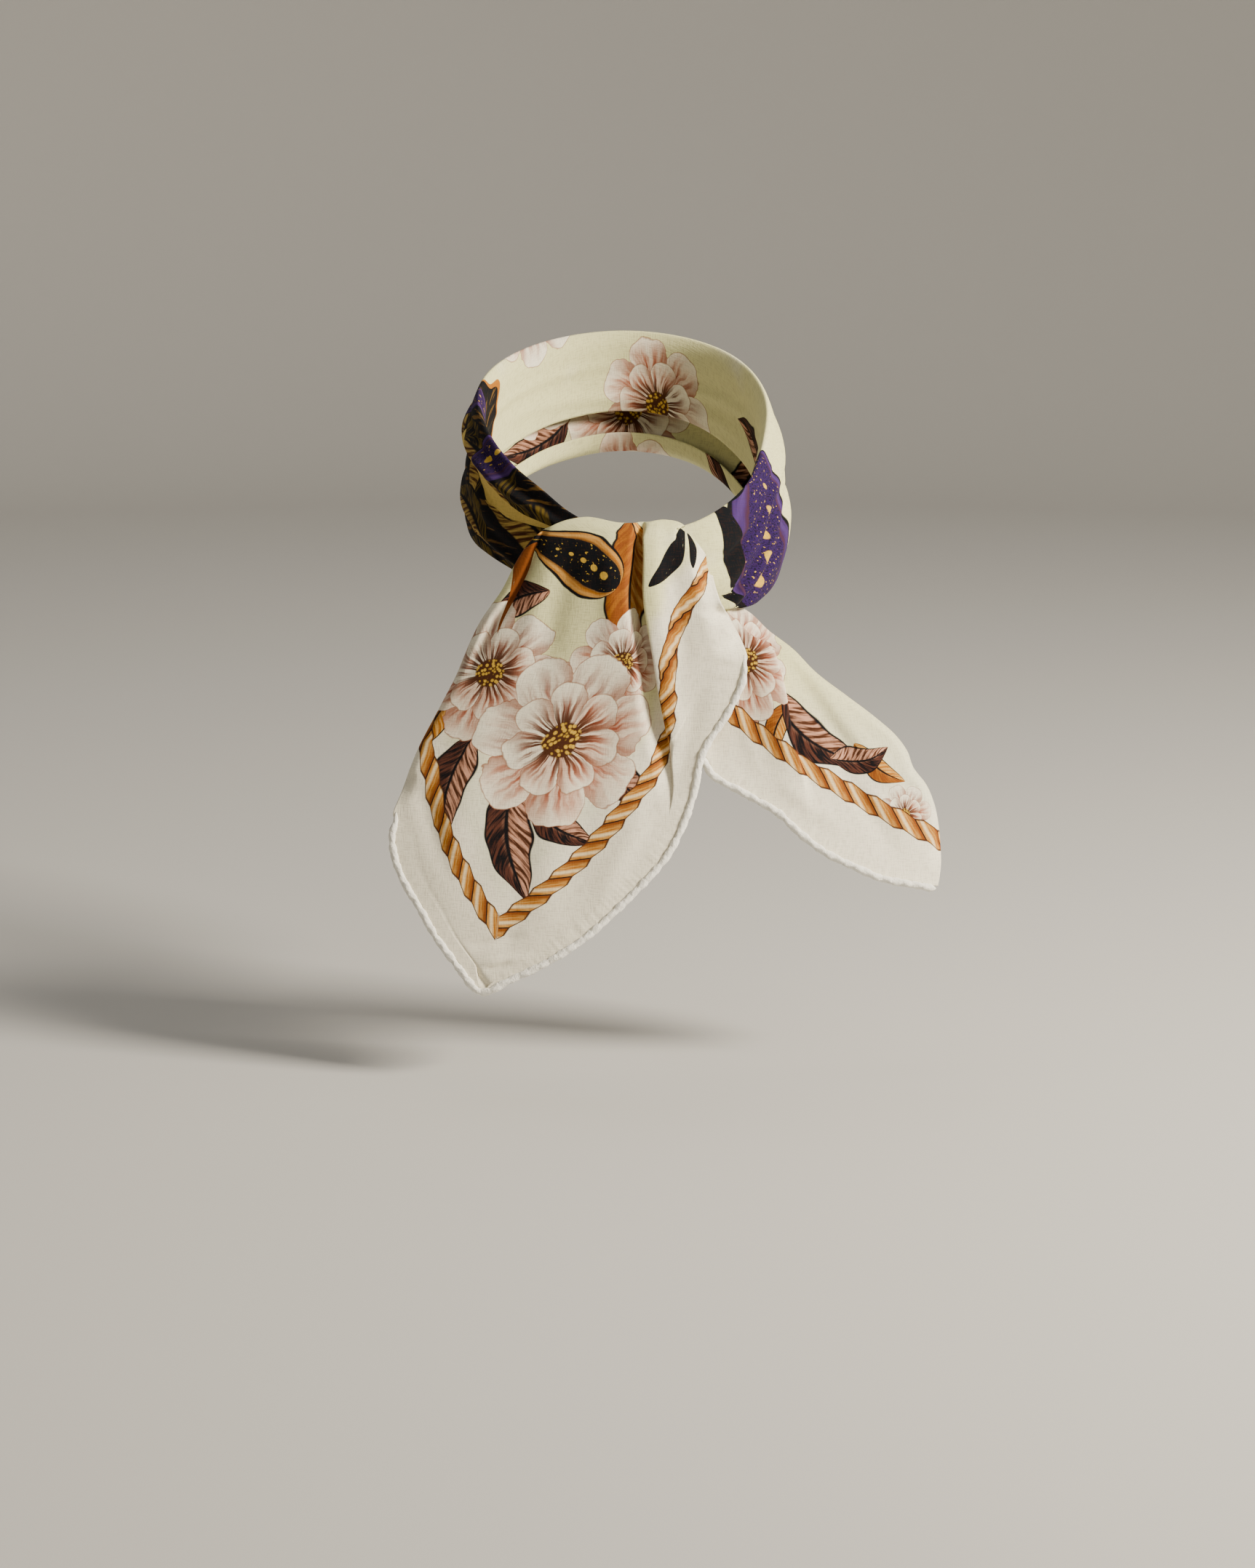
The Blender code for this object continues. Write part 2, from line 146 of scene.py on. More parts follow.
# The tie's top edge: its height across, as a share of the way from the left outline to the right one. The
# last rows run down the fold where the wide end leaves the band's right side.
TOP_EDGE = Table(
    "across height",
    (0, -11),
    (0.06, -6),
    (0.15, -1.8),
    (0.32, 1.5),
    (0.52, -0.2),
    (0.64, -0.2),
    (0.76, 0.6),
    (0.85, -1),
    (0.93, -6.5),
    (1, -14.9),
)

# The wide end: a row per level. Keep is the share of the top edge's shape that the level still has, and
# left and right are the outline.
WIDE_END = Table(
    "drop keep left right",
    (0, 1, -39, 34.8),
    (5, 0.82, -41, 35),
    (12, 0.5, -43, 35.4),
    (25, 0.2, -48, 37.8),
    (40, 0, -56.8, 43.4),
    (55, 0, -63.8, 50),
    (58, 0, -65, 49.8),
    (73, 0, -72.6, 43.8),
    (90, 0, -81.6, 33),
    (105, 0, -87.5, 29.4),
    (118, 0, -92.6, 24.6),
    (130, 0, -91.9, 17.6),
    (140, 0, -87.8, 8.2),
    (150, 0, -81.2, -2.5),
    (160, 0, -75, -14.5),
    (170, 0, -67, -31),
    (177, 0, -61.3, -45.6),
    (183, 0, -56.4, -55.6),
)

# The ovals that the tie and the wide end bend round, a row per drop.
HANG = Table(
    "drop half_width half_depth",
    (-2, 64, 64),
    (0, 68, 67.5),
    (4, 72, 71.5),
    (12, 78, 75.5),
    (25, 92, 78.5),
    (40, 115, 80.5),
    (57, 150, 81.7),
    (73, 175, 83),
    (90, 190, 86.5),
    (105, 200, 92),
    (120, 205, 97.7),
    (150, 212, 109),
    (184, 215, 122),
)
TIP_DROP = 178.2
LEFT_HEM_DROP = 118.0
RIGHT_HEM_DROP = 57.0
WIDE_ROWS = 180

# The chart's u is measured from a line down the wide end just right of the pleat, at this x.
ANCHOR = 25.0

# The pleat between the two panels of the wide end, a row per level: its place, depth and half width. The
# panel on its right ends in a steep crest that leans over the groove.
PLEAT = Table(
    "drop place deep wide",
    (0, 8.6, 2.6, 3.2),
    (5, 8.8, 5.8, 4.2),
    (12, 9, 7.8, 5),
    (26, 8.8, 8.8, 5.8),
    (50, 12.4, 7.8, 6.6),
    (80, 17.4, 4.6, 7),
    (96, 20.4, 2.2, 6.4),
    (112, 22.6, 0, 5.4),
)
PLEAT_STEEP = 1.5
PLEAT_LEAN = 2.2
PLEAT_CREST = 1.1

# The rolled fold along the upper left edge, as a soft trough just inside it.
EDGE_FOLD = Table(
    "drop inside deep wide",
    (0, 8, 2.2, 1.6),
    (12, 7.6, 3.4, 1.6),
    (25, 6.8, 3.4, 1.7),
    (40, 5.6, 2.2, 1.9),
    (55, 4, 0.6, 2.2),
    (66, 3.6, 0, 2.2),
)

# The cloth behind the tie's top edge. Between RISER_LEFT and RISER_RIGHT it goes back to the neck over a
# round shoulder and down in a leg. Elsewhere it rolls over a smaller one.
RISER_LEFT = -15.0
RISER_RIGHT = 15.5
RISER_OFF_NECK = 1.2
RISER_ROUND = 4.0
RISER_LEG = 9.0
ROLL_DEPTH = 2.4
ROLL_ROUND = 1.4
ROLL_LEG = 5.0
ROLL_ROWS = 9
LEG_ROWS = 6

# The wide end's upper right border lies this far behind the face of the band, down to a drop.
BORDER_SUNK = 0.35
BORDER_DROP = 34
BORDER_WIDE = 9

# The body below the neck, as ovals, a row per height. It only guides how the under end lies.
FIGURE = Table(
    "drop half_width half_depth",
    (-20, 56, 58),
    (22, 56, 58),
    (35, 64, 59.5),
    (45, 78, 62),
    (60, 120, 68),
    (80, 175, 76),
    (120, 205, 92),
    (150, 210, 104),
    (200, 215, 124),
)

# The under end: a row per level, from where it leaves the band inside the tie.
UNDER_END = Table(
    "drop left right stand_off",
    (14, 15.5, 33, 3.6),
    (24, 14, 40, 3.4),
    (36, 12, 46.4, 2.6),
    (40, 11.6, 51.8, 2.2),
    (47, 11, 59, 1.8),
    (54, 10.4, 68.4, 1.8),
    (63, 9.8, 78, 1.8),
    (72, 9.2, 90.4, 1.8),
    (80, 10, 101.4, 1.8),
    (87, 19.5, 109.6, 1.6),
    (93, 29, 114.2, 1.5),
    (100, 34.6, 117, 1.4),
    (106, 45.4, 121.7, 1.6),
    (114, 60, 125.2, 1.8),
    (122, 69.2, 126.8, 2),
    (130, 80, 127.4, 2.4),
    (136, 92, 127.2, 2.8),
    (140, 101, 126.6, 3.2),
    (143, 113, 126, 3.5),
    (146, 124.2, 125.3, 3.8),
)
UNDER_TOP_DROP = 14.0
UNDER_HEM_DROP = 80.0
UNDER_TIP_DROP = 143.6
UNDER_ROWS = 150
UNDER_CHART = 300.0

# The fold down the under end: the part left of it lies on top and ends in a steep edge.
UNDER_FOLD = Table(
    "drop place high wide",
    (14, 28, 0.4, 16),
    (36, 45, 1.4, 18),
    (46, 54, 3.6, 17),
    (64, 61.4, 5.2, 18),
    (84, 65, 4.2, 19),
    (100, 70, 1.8, 19),
    (118, 73, 0, 20),
)
UNDER_STEEP = 1.6
UNDER_LEAN = 2.6

# Soft creases, a row each: from one place to another on the sheet, its depth, which is less than 0 for a
# ridge, and its half width.
WIDE_CREASES = (
    (-18, 6, -34, 62, 1, 5),
    (-6, 2, -4, 50, -1, 4),
    (-26, 4, -46, 70, -0.8, 4),
    (18, 6, 26, 60, 1, 4),
    (27, 8, 36, 52, -0.8, 3.4),
    (34, 20, 41, 50, 0.8, 2.6),
    (-4, 60, -22, 150, 1.3, 8),
    (-52, 70, -74, 146, -1.2, 8),
    (-34, 96, -46, 172, 1, 7),
    (14, 100, -12, 150, -1, 5),
    (-82, 100, -68, 140, 0.9, 4),
    (4, 116, 27, 92, 0.8, 3.5),
    (30, 64, 22, 104, 0.7, 3.6),
    (-60, 163, -38, 158, 0.9, 1.8),
    (-57, 169, -36, 166, -0.8, 1.6),
    (-55, 172, -44, 168, 0.6, 1.2),
)
UNDER_CREASES = (
    (24, 40, 40, 100, 1, 5),
    (36, 44, 56, 104, -0.9, 4),
    (62, 52, 100, 104, 1.2, 4),
    (72, 58, 112, 110, -0.9, 3.6),
    (82, 90, 112, 136, 0.9, 4),
    (60, 100, 92, 124, -0.8, 4),
    (96, 104, 120, 128, -0.6, 3),
)
BAND_CREASES = (
    (252, 9, 345, 4, 1.7, 1.8),
    (258, 14, 345, 8, -1.5, 2),
    (200, 16, 325, 24, 1.6, 2.4),
    (235, 32, 328, 33, 1.6, 2.8),
    (255, 46, 332, 40, 1.3, 2.4),
    (270, 39, 330, 37, -0.8, 1.8),
    (20, 24, 84, 10, 1.8, 2.2),
    (24, 33, 70, 15, -1.2, 2.2),
    (24, 42, 74, 22, 2.6, 2),
    (24, 46, 76, 28, -1.4, 2),
    (26, 48, 84, 37, 2.4, 2),
    (48, 38, 150, 30, 1.6, 2.8),
    (70, 30, 130, 22, -1, 2.6),
    (95, 20, 190, 16, 1.7, 2.6),
    (88, 54, 168, 44, 1.4, 2.6),
    (130, 38, 215, 36, -0.9, 2.4),
    (150, 44, 245, 40, 1.5, 2.8),
    (180, 28, 250, 24, 1.3, 2.4),
    (60, -16, 190, -24, 1.1, 2.6),
    (110, -32, 240, -26, 1, 3),
    (170, -14, 300, -20, 0.9, 2.4),
)

# The camera, placed as the photograph's.
CAMERA_PLACE = (0.0019506, -1.7400646, 0.219619)
CAMERA_DOWN = math.radians(11.0)
CAMERA_SENSOR = 36.0
CAMERA_LENS = CAMERA_SENSOR * 1.75 / 0.647

# The studio, in metres: its floor, the wall that the floor curves up into, and the colours of its light.
FLOOR = -0.215
FLOOR_RADIUS = 1.7
WALL_BEND = 0.6
WALL_TOP = 1.3
LIGHT_AIM = (0.0, -0.06, -0.05)
DAYLIGHT = (1.0, 0.94, 0.84)
SKY = (0.84, 0.82, 0.78)
SKY_STRENGTH = 0.07


def ramp(value, low, high):
    """0 below low, 1 above high, and a smooth rise between."""
    t = np.clip((value - low) / (high - low), 0.0, 1.0)
    return t * t * (3 - 2 * t)


def oval_front(x, half_width, half_depth):
    """Y of the front of an oval at x."""
    return -half_depth * np.sqrt(np.maximum(0.02, 1 - (x / half_width) ** 2))


def on_oval(table, x, drop, stand_off):
    """Y on the front of the oval that a table gives for each drop."""
    half_width = table.column("half_width", drop) + stand_off
    half_depth = table.column("half_depth", drop) + stand_off
    return oval_front(x, half_width, half_depth)


def trough(x, place, deep, wide):
    """A soft groove."""
    return deep * np.exp(-(((x - place) / wide) ** 2))


def crease_depth(creases, u, v):
    """Depth of soft creases at places on a sheet. Each fades at both ends."""
    total = np.zeros(np.broadcast(u, v).shape)
    for u_from, v_from, u_to, v_to, deep, wide in creases:
        du, dv = u_to - u_from, v_to - v_from
        length = math.hypot(du, dv)
        along = ((u - u_from) * du + (v - v_from) * dv) / length**2
        across = ((u - u_from) * dv - (v - v_from) * du) / length
        fade = ramp(along, -0.1, 0.3) * (1 - ramp(along, 0.65, 1.1))
        total = total + fade * trough(across, 0.0, deep, wide)
    return total


def rumple(u, v):
    """The cloth's small unevenness: broad soft swells and fainter short ones."""
    u, v = np.broadcast_arrays(u, v)
    broad = [noise((a / 26, b / 34, 0.3)) for a, b in zip(u.ravel(), v.ravel())]
    short = [noise((a / 9, b / 13, 5.7)) for a, b in zip(u.ravel(), v.ravel())]
    return 0.45 * np.reshape(broad, u.shape) + 0.12 * np.reshape(short, u.shape)


def distance_along(path):
    """Distance along a path of points, from its first one."""
    return np.concatenate([[0], np.cumsum(np.linalg.norm(np.diff(path, axis=0), axis=1))])


def unit(vectors):
    """Vectors scaled to a length of 1."""
    return vectors / np.linalg.norm(vectors, axis=1, keepdims=True)


def lengths(grid, axis):
    """Distance along a grid's rows or columns, from its first point."""
    steps = np.linalg.norm(np.diff(grid, axis=axis), axis=2)
    zero = np.zeros_like(np.take(steps, [0], axis=axis))
    return np.cumsum(np.concatenate([zero, steps], axis=axis), axis=axis)


# The band


def band_section(row, count):
    """The band's section, from its inner layer's end over the top edge to its tucked-in lower end."""
    top, bottom, lift, belly, crest, ridge = row
    tall, thick = top - bottom, belly - lift
    points = np.array(
        (
            (lift, bottom + 0.34 * tall),
            (lift, bottom + 0.65 * tall),
            (lift + 0.1, top - 3.0),
            (lift + 1.6, top),
            (lift + 0.5 * thick, top - 0.45 * crest),
            (lift + 0.8 * thick, top - crest),
            (lift + 0.78 * thick - ridge, top - crest - 4.0),
            (belly, bottom + 0.34 * tall),
            (belly - 0.2 * thick, bottom + 0.12 * tall),
            (lift + 0.5 * thick, bottom),
            (lift + 1.2, bottom + 1.6),
            (lift + 0.4, bottom + 0.16 * tall),
        )
    )
    along = distance_along(points)
    wanted = np.linspace(0, along[-1], count)
    section = Table("along out height", *np.column_stack([along, points]))
    return section.column("out", wanted), section.column("height", wanted), wanted - along[3]


def band_grids():
    """The band from the right of the tie round the neck to behind the tie, and its place in the chart."""
    rows, chart = [], []
    first, last = BAND.rows[0, 0], BAND.rows[-1, 0]
    for angle in np.linspace(first, last, round((last - first) / BAND_STEP) + 1):
        values = BAND.row(angle)
        out, height, below_top = band_section(values, BAND_ACROSS)
        u = np.full(BAND_ACROSS, NECK_ARC * math.radians(angle))
        v = below_top - values[0]
        off_edge = ramp(np.abs(below_top), 2.0, 8.0)
        out = out - off_edge * (crease_depth(BAND_CREASES, angle, below_top) + rumple(u, v))
        turn = math.radians(angle)
        x = (NECK_HALF_WIDTH + out) * math.sin(turn)
        y = -(NECK_HALF_DEPTH + out) * math.cos(turn)
        rows.append(np.stack([x, y, height], axis=-1))
        chart.append(np.stack([u, v], axis=-1))
    return np.array(rows), np.array(chart)


# The wide end


def turned_edge(length, bend):
    """Distance in from an edge and distance behind the face, for points along an edge that turns under.

    The bend is 1 for a full turn and 0 for a flat edge. The points run from the free end to the face.
    """
    turned = math.radians(TURN_ANGLE) * bend
    bent = TURN_BENT * length / TURN_LENGTH
    inside, behind = [], []
    for from_face in np.linspace(length, 0, TURN_POINTS):
        in_bend = min(from_face, bent)
        past = max(0.0, from_face - bent)
        angle = turned * in_bend / bent
        if turned > 1e-3:
            radius = bent / turned
            x, y = radius * math.sin(angle), radius * (1 - math.cos(angle))
        else:
            x, y = in_bend, 0.0
        inside.append(-(x + past * math.cos(angle)))
        behind.append(y + past * math.sin(angle))
    inside = np.array(inside)
    return inside - inside.min(), np.array(behind)


def inset(table, side, drops, start):
    """The outline at one side, moved in from where the hem starts to leave room for the rolled hem."""
    edge = table.column(side, drops)
    slope = (table.column(side, drops + 1.0) - table.column(side, drops - 1.0)) / 2.0
    room = HEM_INSET * np.sqrt(1 + slope**2) * ramp(drops, start - 5.0, start + 1.0)
    return edge + room * (1 if side == "left" else -1)


def face_columns(start, end, fold, before, near, after):
    """Places across a face, closer together where a fold runs down it."""
    share = min(max((fold - start) / (end - start), 0.12), 0.93)
    fold = start + share * (end - start)
    reach = min(6.0, 0.7 * (fold - start), 0.7 * (end - fold))
    return np.concatenate(
        [
            np.linspace(start, fold - reach, before + 1)[1:-1],
            np.linspace(fold - reach, fold + reach, near),
            np.linspace(fold + reach, end, after + 1)[1:-1],
        ]
    )


def pleat_form(x, place, deep, wide):
    """Depth of the pleat, and how far its crest leans to the left, at places across a level."""
    share = min(1.0, deep / 6.0)
    slope = deep * (1 - ramp(place - x, 0.45 * wide, 1.45 * wide))
    steep = deep * (1 - ramp(x, place, place + PLEAT_STEEP + 3.5 * (1 - share)))
    crest = trough(x, place + 4.0, PLEAT_CREST * share, 3.0)
    lean = trough(x, place + PLEAT_STEEP + 0.4, PLEAT_LEAN * share, 1.8)
    return np.where(x < place, slope, steep) - crest, lean


def wide_row(drop):
    """One level of the wide end."""
    keep = WIDE_END.row(drop)[0]
    left = inset(WIDE_END, "left", drop, LEFT_HEM_DROP)
    right = inset(WIDE_END, "right", drop, RIGHT_HEM_DROP)
    near_hem = ramp(drop, LEFT_HEM_DROP - 50, LEFT_HEM_DROP - 4)
    grown = 0.5 + 0.5 * ramp(drop, 8, 45) - 0.6 * near_hem
    length = min(TURN_LENGTH * grown, 0.22 * (right - left))
    left_bend = 1 - ramp(drop, LEFT_HEM_DROP - 36, LEFT_HEM_DROP - 3)
    right_bend = 0.5 * ramp(drop, 29, 42) * (1 - ramp(drop, 42, RIGHT_HEM_DROP - 3))
    in_left, behind_left = turned_edge(length, left_bend)
    in_right, behind_right = turned_edge(length, right_bend)
    place, deep, wide = PLEAT.row(drop)
    middle = face_columns(left + in_left[-1], right - in_right[-1], place, 60, 28, 22)
    sunk, lean = pleat_form(middle, place, deep, wide)
    inside, groove, broad = EDGE_FOLD.row(drop)
    sunk = sunk + trough(middle, left + inside, groove, broad)
    hemmed = ramp(drop, LEFT_HEM_DROP - 6, LEFT_HEM_DROP + 8)
    sunk = sunk + trough(middle, left + 2.2 * HEM_GROOVE_WIDE, HEM_GROOVE_DEEP * hemmed, HEM_GROOVE_WIDE)
    x = np.concatenate([left + in_left, middle - lean, right - in_right[::-1]])
    behind = np.concatenate([behind_left, sunk, behind_right[::-1]])
    across = np.clip((x - left) / (right - left), 0, 1)
    height = keep * TOP_EDGE.column("height", across) - drop
    behind = behind + crease_depth(WIDE_CREASES, x, -height) + rumple(x, height)
    y = on_oval(HANG, x, -height, 0.0) + behind
    return np.stack([x, y, height], axis=-1)


def band_surface(grid):
    """The band as a tree that finds the front of its surface at a place seen from the front."""
    rows, columns = grid.shape[:2]
    return BVHTree.FromPolygons(grid.reshape(-1, 3).tolist(), quads(rows, columns))


def settle_on_band(grid, drops, tree):
    """Sinks the wide end's upper right border into the band, whose cloth runs on into it."""
    settled = grid.copy()
    for r, drop in enumerate(drops):
        if drop > BORDER_DROP:
            break
        right = grid[r, -1, 0]
        for c, (x, y, z) in enumerate(grid[r]):
            top = (1 - ramp(drop, 0.5, BORDER_WIDE)) * ramp(x, 17, 25)
            side = (1 - ramp(right - x, 0.5, BORDER_WIDE)) * (1 - ramp(-z, 20, 31))
            share = max(top, side)
            if share == 0:
                continue
            hit = tree.ray_cast((x, -200.0, z), (0, 1, 0))[0]
            if hit is not None:
                settled[r, c, 1] += share * (hit.y + BORDER_SUNK - y)
    return settled


def behind_top_edge(row):
    """The cloth behind the tie's top edge, from the end of its leg up to the edge."""
    x, front, height = np.moveaxis(row, -1, 0)
    in_riser = ramp(x, RISER_LEFT - 4, RISER_LEFT + 1) * (1 - ramp(x, RISER_RIGHT - 1, RISER_RIGHT + 4))
    beside_band = ramp(x, 17, 23)
    neck = oval_front(x, NECK_HALF_WIDTH + RISER_OFF_NECK, NECK_HALF_DEPTH + RISER_OFF_NECK)
    depth = ROLL_DEPTH * (1 - 0.8 * beside_band) * (1 - in_riser) + (neck - front) * in_riser
    fall = ROLL_ROUND * (1 - in_riser) + RISER_ROUND * in_riser
    leg = (ROLL_LEG * (1 - in_riser) + RISER_LEG * in_riser) * (1 - 0.6 * beside_band)
    rows = []
    for share in np.linspace(1, 0, LEG_ROWS, endpoint=False):
        rows.append(np.stack([x, front + depth, height - fall - leg * share], axis=-1))
    for turn in np.radians(np.linspace(90, 0, ROLL_ROWS, endpoint=False)):
        y, z = front + depth * np.sin(turn), height - fall * (1 - np.cos(turn))
        rows.append(np.stack([x, y, z], axis=-1))
    return np.array(rows)


def hang_length(drop):
    """Length down the middle of the wide end's hanging curve, from the top of the tie to a drop."""
    down = np.linspace(-3, 185, 189)
    front = on_oval(HANG, 0.0, down, 0.0)
    so_far = np.concatenate([[0], np.cumsum(np.hypot(np.diff(down), np.diff(front)))])
    return np.interp(drop, down, so_far) - np.interp(0.0, down, so_far)


def width_length(x, drop):
    """Length across the wide end's oval from its middle to x, at one drop."""
    steps = np.linspace(0, x, 60)
    front = on_oval(HANG, steps, drop, 0.0)
    return math.copysign(np.hypot(np.diff(steps), np.diff(front)).sum(), x)


def wide_grids(tree):
    """The wide end from behind the top edge to its tip, its chart, its front's first row and drops."""
    drops = np.concatenate([np.linspace(0, 6, 12, endpoint=False), np.linspace(6, TIP_DROP, WIDE_ROWS)])
    front = settle_on_band(np.array([wide_row(drop) for drop in drops]), drops, tree)
    front[:, :, 1] += (0.9 * (1 - ramp(drops, 0, 3.0)))[:, None]
    back = behind_top_edge(front[0])
    grid = np.concatenate([back, front])
    u = lengths(grid, 1)
    for row, along in zip(grid, u):
        anchor = min(ANCHOR, row[-1, 0] - 2.0)
        along += width_length(anchor, max(0.0, -row[-1, 2])) - np.interp(anchor, row[:, 0], along)
    behind = lengths(back, 0) - lengths(grid[: len(back) + 1], 0)[-1]
    v = np.concatenate([behind, hang_length(-front[:, :, 2])])
    v[: len(back)] += v[len(back)]
    return grid, np.stack([u, v], axis=-1), len(back), drops


# The under end


def under_row(drop):
    """One level of the under end."""
    left = inset(UNDER_END, "left", drop, UNDER_HEM_DROP)
    right, stand_off = UNDER_END.row(drop)[1:]
    length = min(8.0, 0.2 * (right - left))
    right_bend = 0.5 * ramp(drop, 40, 60) * (1 - ramp(drop, 122, 140))
    turn_in, turn_behind = turned_edge(length, right_bend)
    place, high, wide = UNDER_FOLD.row(drop)
    face = face_columns(left, right - turn_in[-1], place + 1.0, 40, 26, 34)
    full = min(1.0, high / 4.0)
    steep = UNDER_STEEP + 5.0 * (1 - full)
    raised = high * ramp(face, place - wide, place) * (1 - ramp(face, place, place + steep))
    lean = trough(face, place, UNDER_LEAN * full, 1.6)
    x = np.concatenate([face + lean, right - turn_in[::-1]])
    behind = np.concatenate([-raised, turn_behind[::-1]])
    behind = behind + crease_depth(UNDER_CREASES, x, drop) + rumple(x, drop)
    y = on_oval(FIGURE, x, drop, stand_off) + behind
    return np.stack([x, y, np.full(len(x), -drop)], axis=-1)


def under_grids():
    """The under end down to its corner, and its place in the chart."""
    drops = np.linspace(UNDER_TOP_DROP, UNDER_TIP_DROP, UNDER_ROWS)
    grid = np.array([under_row(drop) for drop in drops])
    u = lengths(grid, 1) + grid[:, :1, 0] + UNDER_CHART
    v = np.broadcast_to(drops[:, None], u.shape)
    return grid, np.stack([u, v], axis=-1), drops


# Hems


def hem_path(edge, inner):
    """The middle of a rolled hem, given an edge and the points inside it. It soon runs just outside."""
    along = unit(np.gradient(edge, axis=0))
    out = edge - inner
    out = unit(out - along * np.sum(out * along, axis=1, keepdims=True))
    so_far = distance_along(edge)
    return edge + out * (HEM_RADIUS * (1.7 * ramp(so_far, 0.0, 9.0) - 0.85))[:, None]


def evenly(path, step):
    """Points a step apart along a path."""
    along = distance_along(path)
    wanted = np.linspace(0, along[-1], round(along[-1] / step) + 1)
    return np.stack([np.interp(wanted, along, path[:, k]) for k in range(3)], axis=-1)


def eased(path, times):
    """A path with its corners rounded off."""
    for _ in range(times):
        path = np.concatenate([path[:1], (path[:-2] + 2 * path[1:-1] + path[2:]) / 4, path[-1:]])
    return path


def quads(rows, columns, closed=False):
    """Faces between rows of points. Where they are closed, a row's last point is next to its first."""
    beside = [(c, (c + 1) % columns) for c in range(columns if closed else columns - 1)]
    return [
        (r * columns + c, r * columns + d, (r + 1) * columns + d, (r + 1) * columns + c)
        for r in range(rows - 1)
        for c, d in beside
    ]


def gentle(side):
    """A side of the hem in the chart as one gentle curve."""
    along = np.linspace(-1, 1, len(side))
    return np.stack([np.polyval(np.polyfit(along, side[:, k], 2), along) for k in range(2)], axis=-1)


def run_on(end, before, bend):
    """The border's line past the hem's end, in 3 mm steps. It bends by some degrees, then is straight."""
    along = end - before
    directions = math.atan2(along[1], along[0]) + np.radians(bend) * np.minimum(np.arange(30) / 12, 1.0)
    return end + 3.0 * np.cumsum(np.stack([np.cos(directions), np.sin(directions)], axis=-1), axis=0)


def from_hem(chart, hem, bend):
    """Distance from the border's line and along it, in the chart: the hem's line, run on at its ends."""
    line = np.concatenate([run_on(hem[0], hem[6], 0)[::-1], hem, run_on(hem[-1], hem[-7], bend)])
    steps = np.diff(line, axis=0)
    flat = chart.reshape(-1, 2)
    near, place = np.full(len(flat), np.inf), np.zeros(len(flat))
    sizes = np.linalg.norm(steps, axis=1)
    for start, step, length, so_far in zip(line, steps, sizes, distance_along(line)):
        share = np.clip((flat - start) @ step / length**2, 0, 1)
        distance = np.linalg.norm(flat - start - share[:, None] * step, axis=1)
        closer = distance < near
        near = np.where(closer, distance, near)
        place = np.where(closer, so_far + share * length, place)
    return np.stack([near, place], axis=-1).reshape(*chart.shape[:2], 2)


# Meshes


def add_chart(mesh, name, places):
    """A flat map on a mesh, in metres, from one place per point."""
    layer = mesh.uv_layers.new(name=name)
    corners = np.empty(len(mesh.loops), dtype=np.int32)
    mesh.loops.foreach_get("vertex_index", corners)
    layer.data.foreach_set("uv", (places.reshape(-1, 2)[corners] * MM).astype(np.float32).ravel())


def new_object(name, data):
    made = bpy.data.objects.new(name, data)
    bpy.context.scene.collection.objects.link(made)
    return made


def new_piece(name, points, faces, surface):
    mesh = bpy.data.meshes.new(name)
    mesh.from_pydata((points * MM).tolist(), [], faces)
    mesh.shade_smooth()
    mesh.update()
    mesh.materials.append(surface)
    return new_object(name, mesh)


def cloth(name, grid, chart, hem_chart, surface, nodes):
    """A thin sheet through a grid of points."""
    piece = new_piece(name, grid.reshape(-1, 3), quads(*grid.shape[:2]), surface)
    add_chart(piece.data, "chart", chart)
    add_chart(piece.data, "hem", hem_chart)
    wall = piece.modifiers.new("thickness", "SOLIDIFY")
    wall.thickness = CLOTH_THICK * MM
    wall.offset = 0.0
    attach(piece, "root")
    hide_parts(*nodes)
    return piece


def rolled_hem(name, path, surface, node, tapers):
    """A hand-rolled hem: a soft uneven cord, drawn in at each stitch and thinner along its tapers."""
    path = evenly(eased(path, 3), HEM_STEP)
    along = distance_along(path)
    forward = unit(np.gradient(path, axis=0))
    side = unit(np.cross(forward, (0.0, -1.0, 0.0)))
    front = np.cross(side, forward)
    start, end = tapers
    thin = ramp(along, -0.5 * start, start) * ramp(along[-1] - along, -0.5 * end, end)
    points = []
    for point, a, b, s, full in zip(path, side, front, along, thin):
        stitch = STITCH_DEEP * max(0.0, math.cos(TAU * s / STITCH_APART)) ** 4
        uneven = 0.07 * math.sin(0.43 * s) + 0.04 * math.sin(0.97 * s + 1.0)
        for turn in np.linspace(0, TAU, HEM_AROUND, endpoint=False):
            twist = 0.08 * math.sin(2 * turn + 0.9 * s) + 0.05 * math.sin(5 * turn - 1.7 * s)
            radius = HEM_RADIUS * full * (1 + uneven + twist - stitch)
            points.append(point + radius * (math.cos(turn) * a + math.sin(turn) * b))
    faces = quads(len(path), HEM_AROUND, closed=True)
    faces.append(tuple(range(HEM_AROUND)))
    faces.append(tuple(range(len(points) - 1, len(points) - HEM_AROUND - 1, -1)))
    piece = new_piece(name, np.array(points), faces, surface)
    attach(piece, "root")
    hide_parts(node)
    return piece


# Materials


